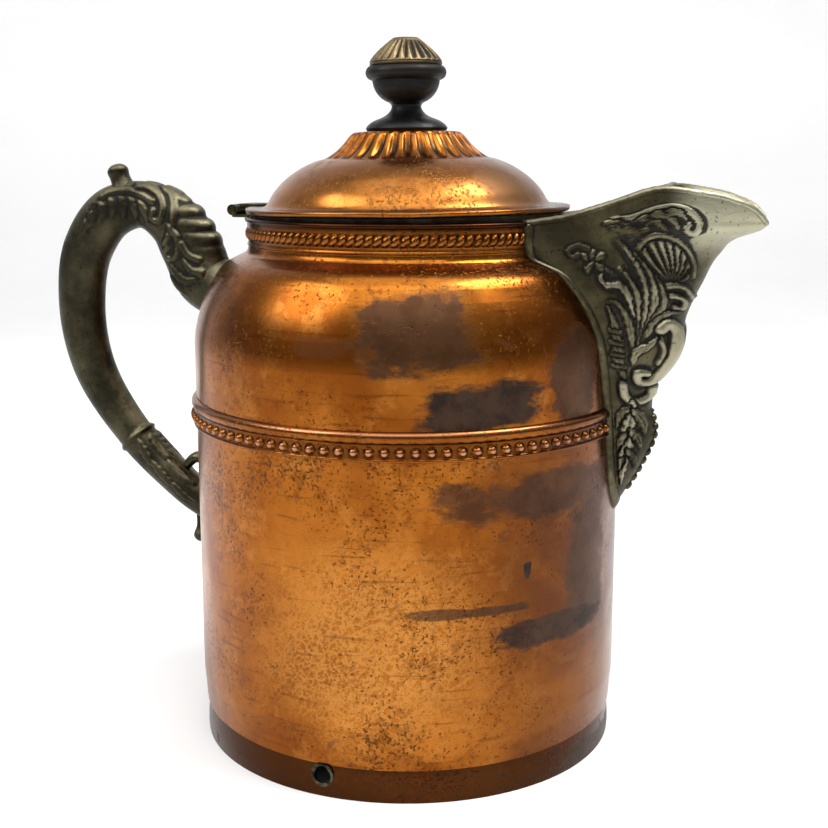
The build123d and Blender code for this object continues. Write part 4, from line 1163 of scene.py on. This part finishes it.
def tube(name, line, radii, flatten=1.0):
    """A round bar carried along a line in the pot's middle plane, with a radius at each of its points.

    The line is smooth through its points, the ends are rounded off, and the bar's half width across the
    plane is its radius times flatten.
    """
    sides = 20
    line = np.array(line, dtype=float)
    steps = np.concatenate([[0], np.cumsum(np.linalg.norm(np.diff(line, axis=0), axis=1))])
    at = np.linspace(0, steps[-1], 60)
    x, z = through(at, steps, line[:, 0]), through(at, steps, line[:, 1])
    radius = through(at, steps, np.array(radii, dtype=float))
    ends = np.sqrt(np.clip(1 - (1 - np.minimum(at, steps[-1] - at) / radius.clip(0.1)).clip(0) ** 2, 0, 1))
    radius = radius * ends
    slope_x, slope_z = np.gradient(x), np.gradient(z)
    speed = np.hypot(slope_x, slope_z)[:, None]
    ring = np.linspace(0, 2 * math.pi, sides, endpoint=False)[None, :]
    deep, wide = radius[:, None] * np.cos(ring), radius[:, None] * np.sin(ring) * flatten
    across_x = x[:, None] + slope_z[:, None] / speed * deep
    across_z = z[:, None] - slope_x[:, None] / speed * deep
    made = surface(name, np.stack([across_x, wide, across_z], axis=-1), wrap_columns=True)
    keep_attribute(made, "ridge", np.full(deep.shape, 0.35))
    keep_attribute(made, "hollow", np.zeros(deep.shape))
    close_up(made)
    made.data.materials.append(handle_metal)
    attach(made, "pot")


tube(
    "thumb_scroll",
    [(-111.5, 190), (-112.6, 196), (-114.2, 200.6), (-115.6, 204.9)],
    [8.5, 4.4, 3.6, 5.0],
    flatten=1.2,
)
tube(
    "handle_leaf_curl",
    [(-91, 89), (-85, 93.5), (-81, 92), (-80.5, 88.5), (-82.8, 87.5)],
    [1.6, 2.2, 2.2, 1.8, 1.6],
    flatten=1.5,
)
tube(
    "handle_end_ball",
    [(-85.2, 76), (-84.8, 70), (-84.8, 65.4), (-84.8, 62.4), (-84.8, 59.4)],
    [2.4, 1.7, 1.9, 3.0, 2.6],
)


# The solder run: soft solder dribbled between the neck's rim and the hood, rough and brown.
solder_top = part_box("spout_solder")[1][2] * 1000
solder_turn = np.linspace(-10.5, 10.5, 90) * math.pi / 180
solder_arc = np.linspace(0, 2 * math.pi, 26, endpoint=False)
lump = 0.25 * np.sin(solder_turn * 190)[:, None] * np.cos(3 * solder_arc)[None, :]
lump = lump + 0.2 * np.sin(solder_turn * 83 + 1)[:, None]
end_taper = np.sqrt(np.clip(1 - (solder_turn / solder_turn[-1]) ** 6, 0.0, 1))[:, None]
solder_radius = neck_radius + 1.6 + (2.2 + lump) * np.cos(solder_arc)[None, :] * end_taper
solder_level = rim_level - 0.2 + (1.35 + 0.6 * lump) * np.sin(solder_arc)[None, :] * end_taper
solder_level = np.minimum(solder_level, solder_top)
solder = surface("solder_run", revolve(solder_radius, solder_level, solder_turn[:, None]), wrap_columns=True)
close_up(solder)
solder.data.materials.append(dull_metal("soft_solder", "#2a1d14", "#6e5240", 0.5, 1.2))
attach(solder, "pot")
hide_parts("spout_solder")

# A worn ring of solder seals the edge of the vent hole in the foot band
vent_azimuth, vent_level, vent_ring, vent_bead, foot_radius = math.radians(-95.0), 7.4, 3.55, 0.6, 74.95
vent_out = np.array([math.cos(vent_azimuth), math.sin(vent_azimuth), 0.0])
vent_side = np.array([-math.sin(vent_azimuth), math.cos(vent_azimuth), 0.0])
vent_round = np.linspace(0, 2 * math.pi, 48, endpoint=False)[:, None, None]
vent_section = np.linspace(0, 2 * math.pi, 10, endpoint=False)[None, :, None]
vent_reach = vent_ring + vent_bead * np.cos(vent_section) * (1 + 0.25 * np.sin(3 * vent_round))
vent_points = (
    vent_out * (foot_radius + 0.6 * vent_bead * np.sin(vent_section))
    + vent_reach * (vent_side * np.cos(vent_round) + np.array([0, 0, 1.0]) * np.sin(vent_round))
    + np.array([0, 0, vent_level])
)
vent_solder = surface("vent_solder_ring", vent_points, wrap_rows=True, wrap_columns=True)
close_up(vent_solder)
vent_solder.data.materials.append(dull_metal("vent_solder", "#1d1b14", "#5f5a48", 0.5, 1.0))
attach(vent_solder, "pot")
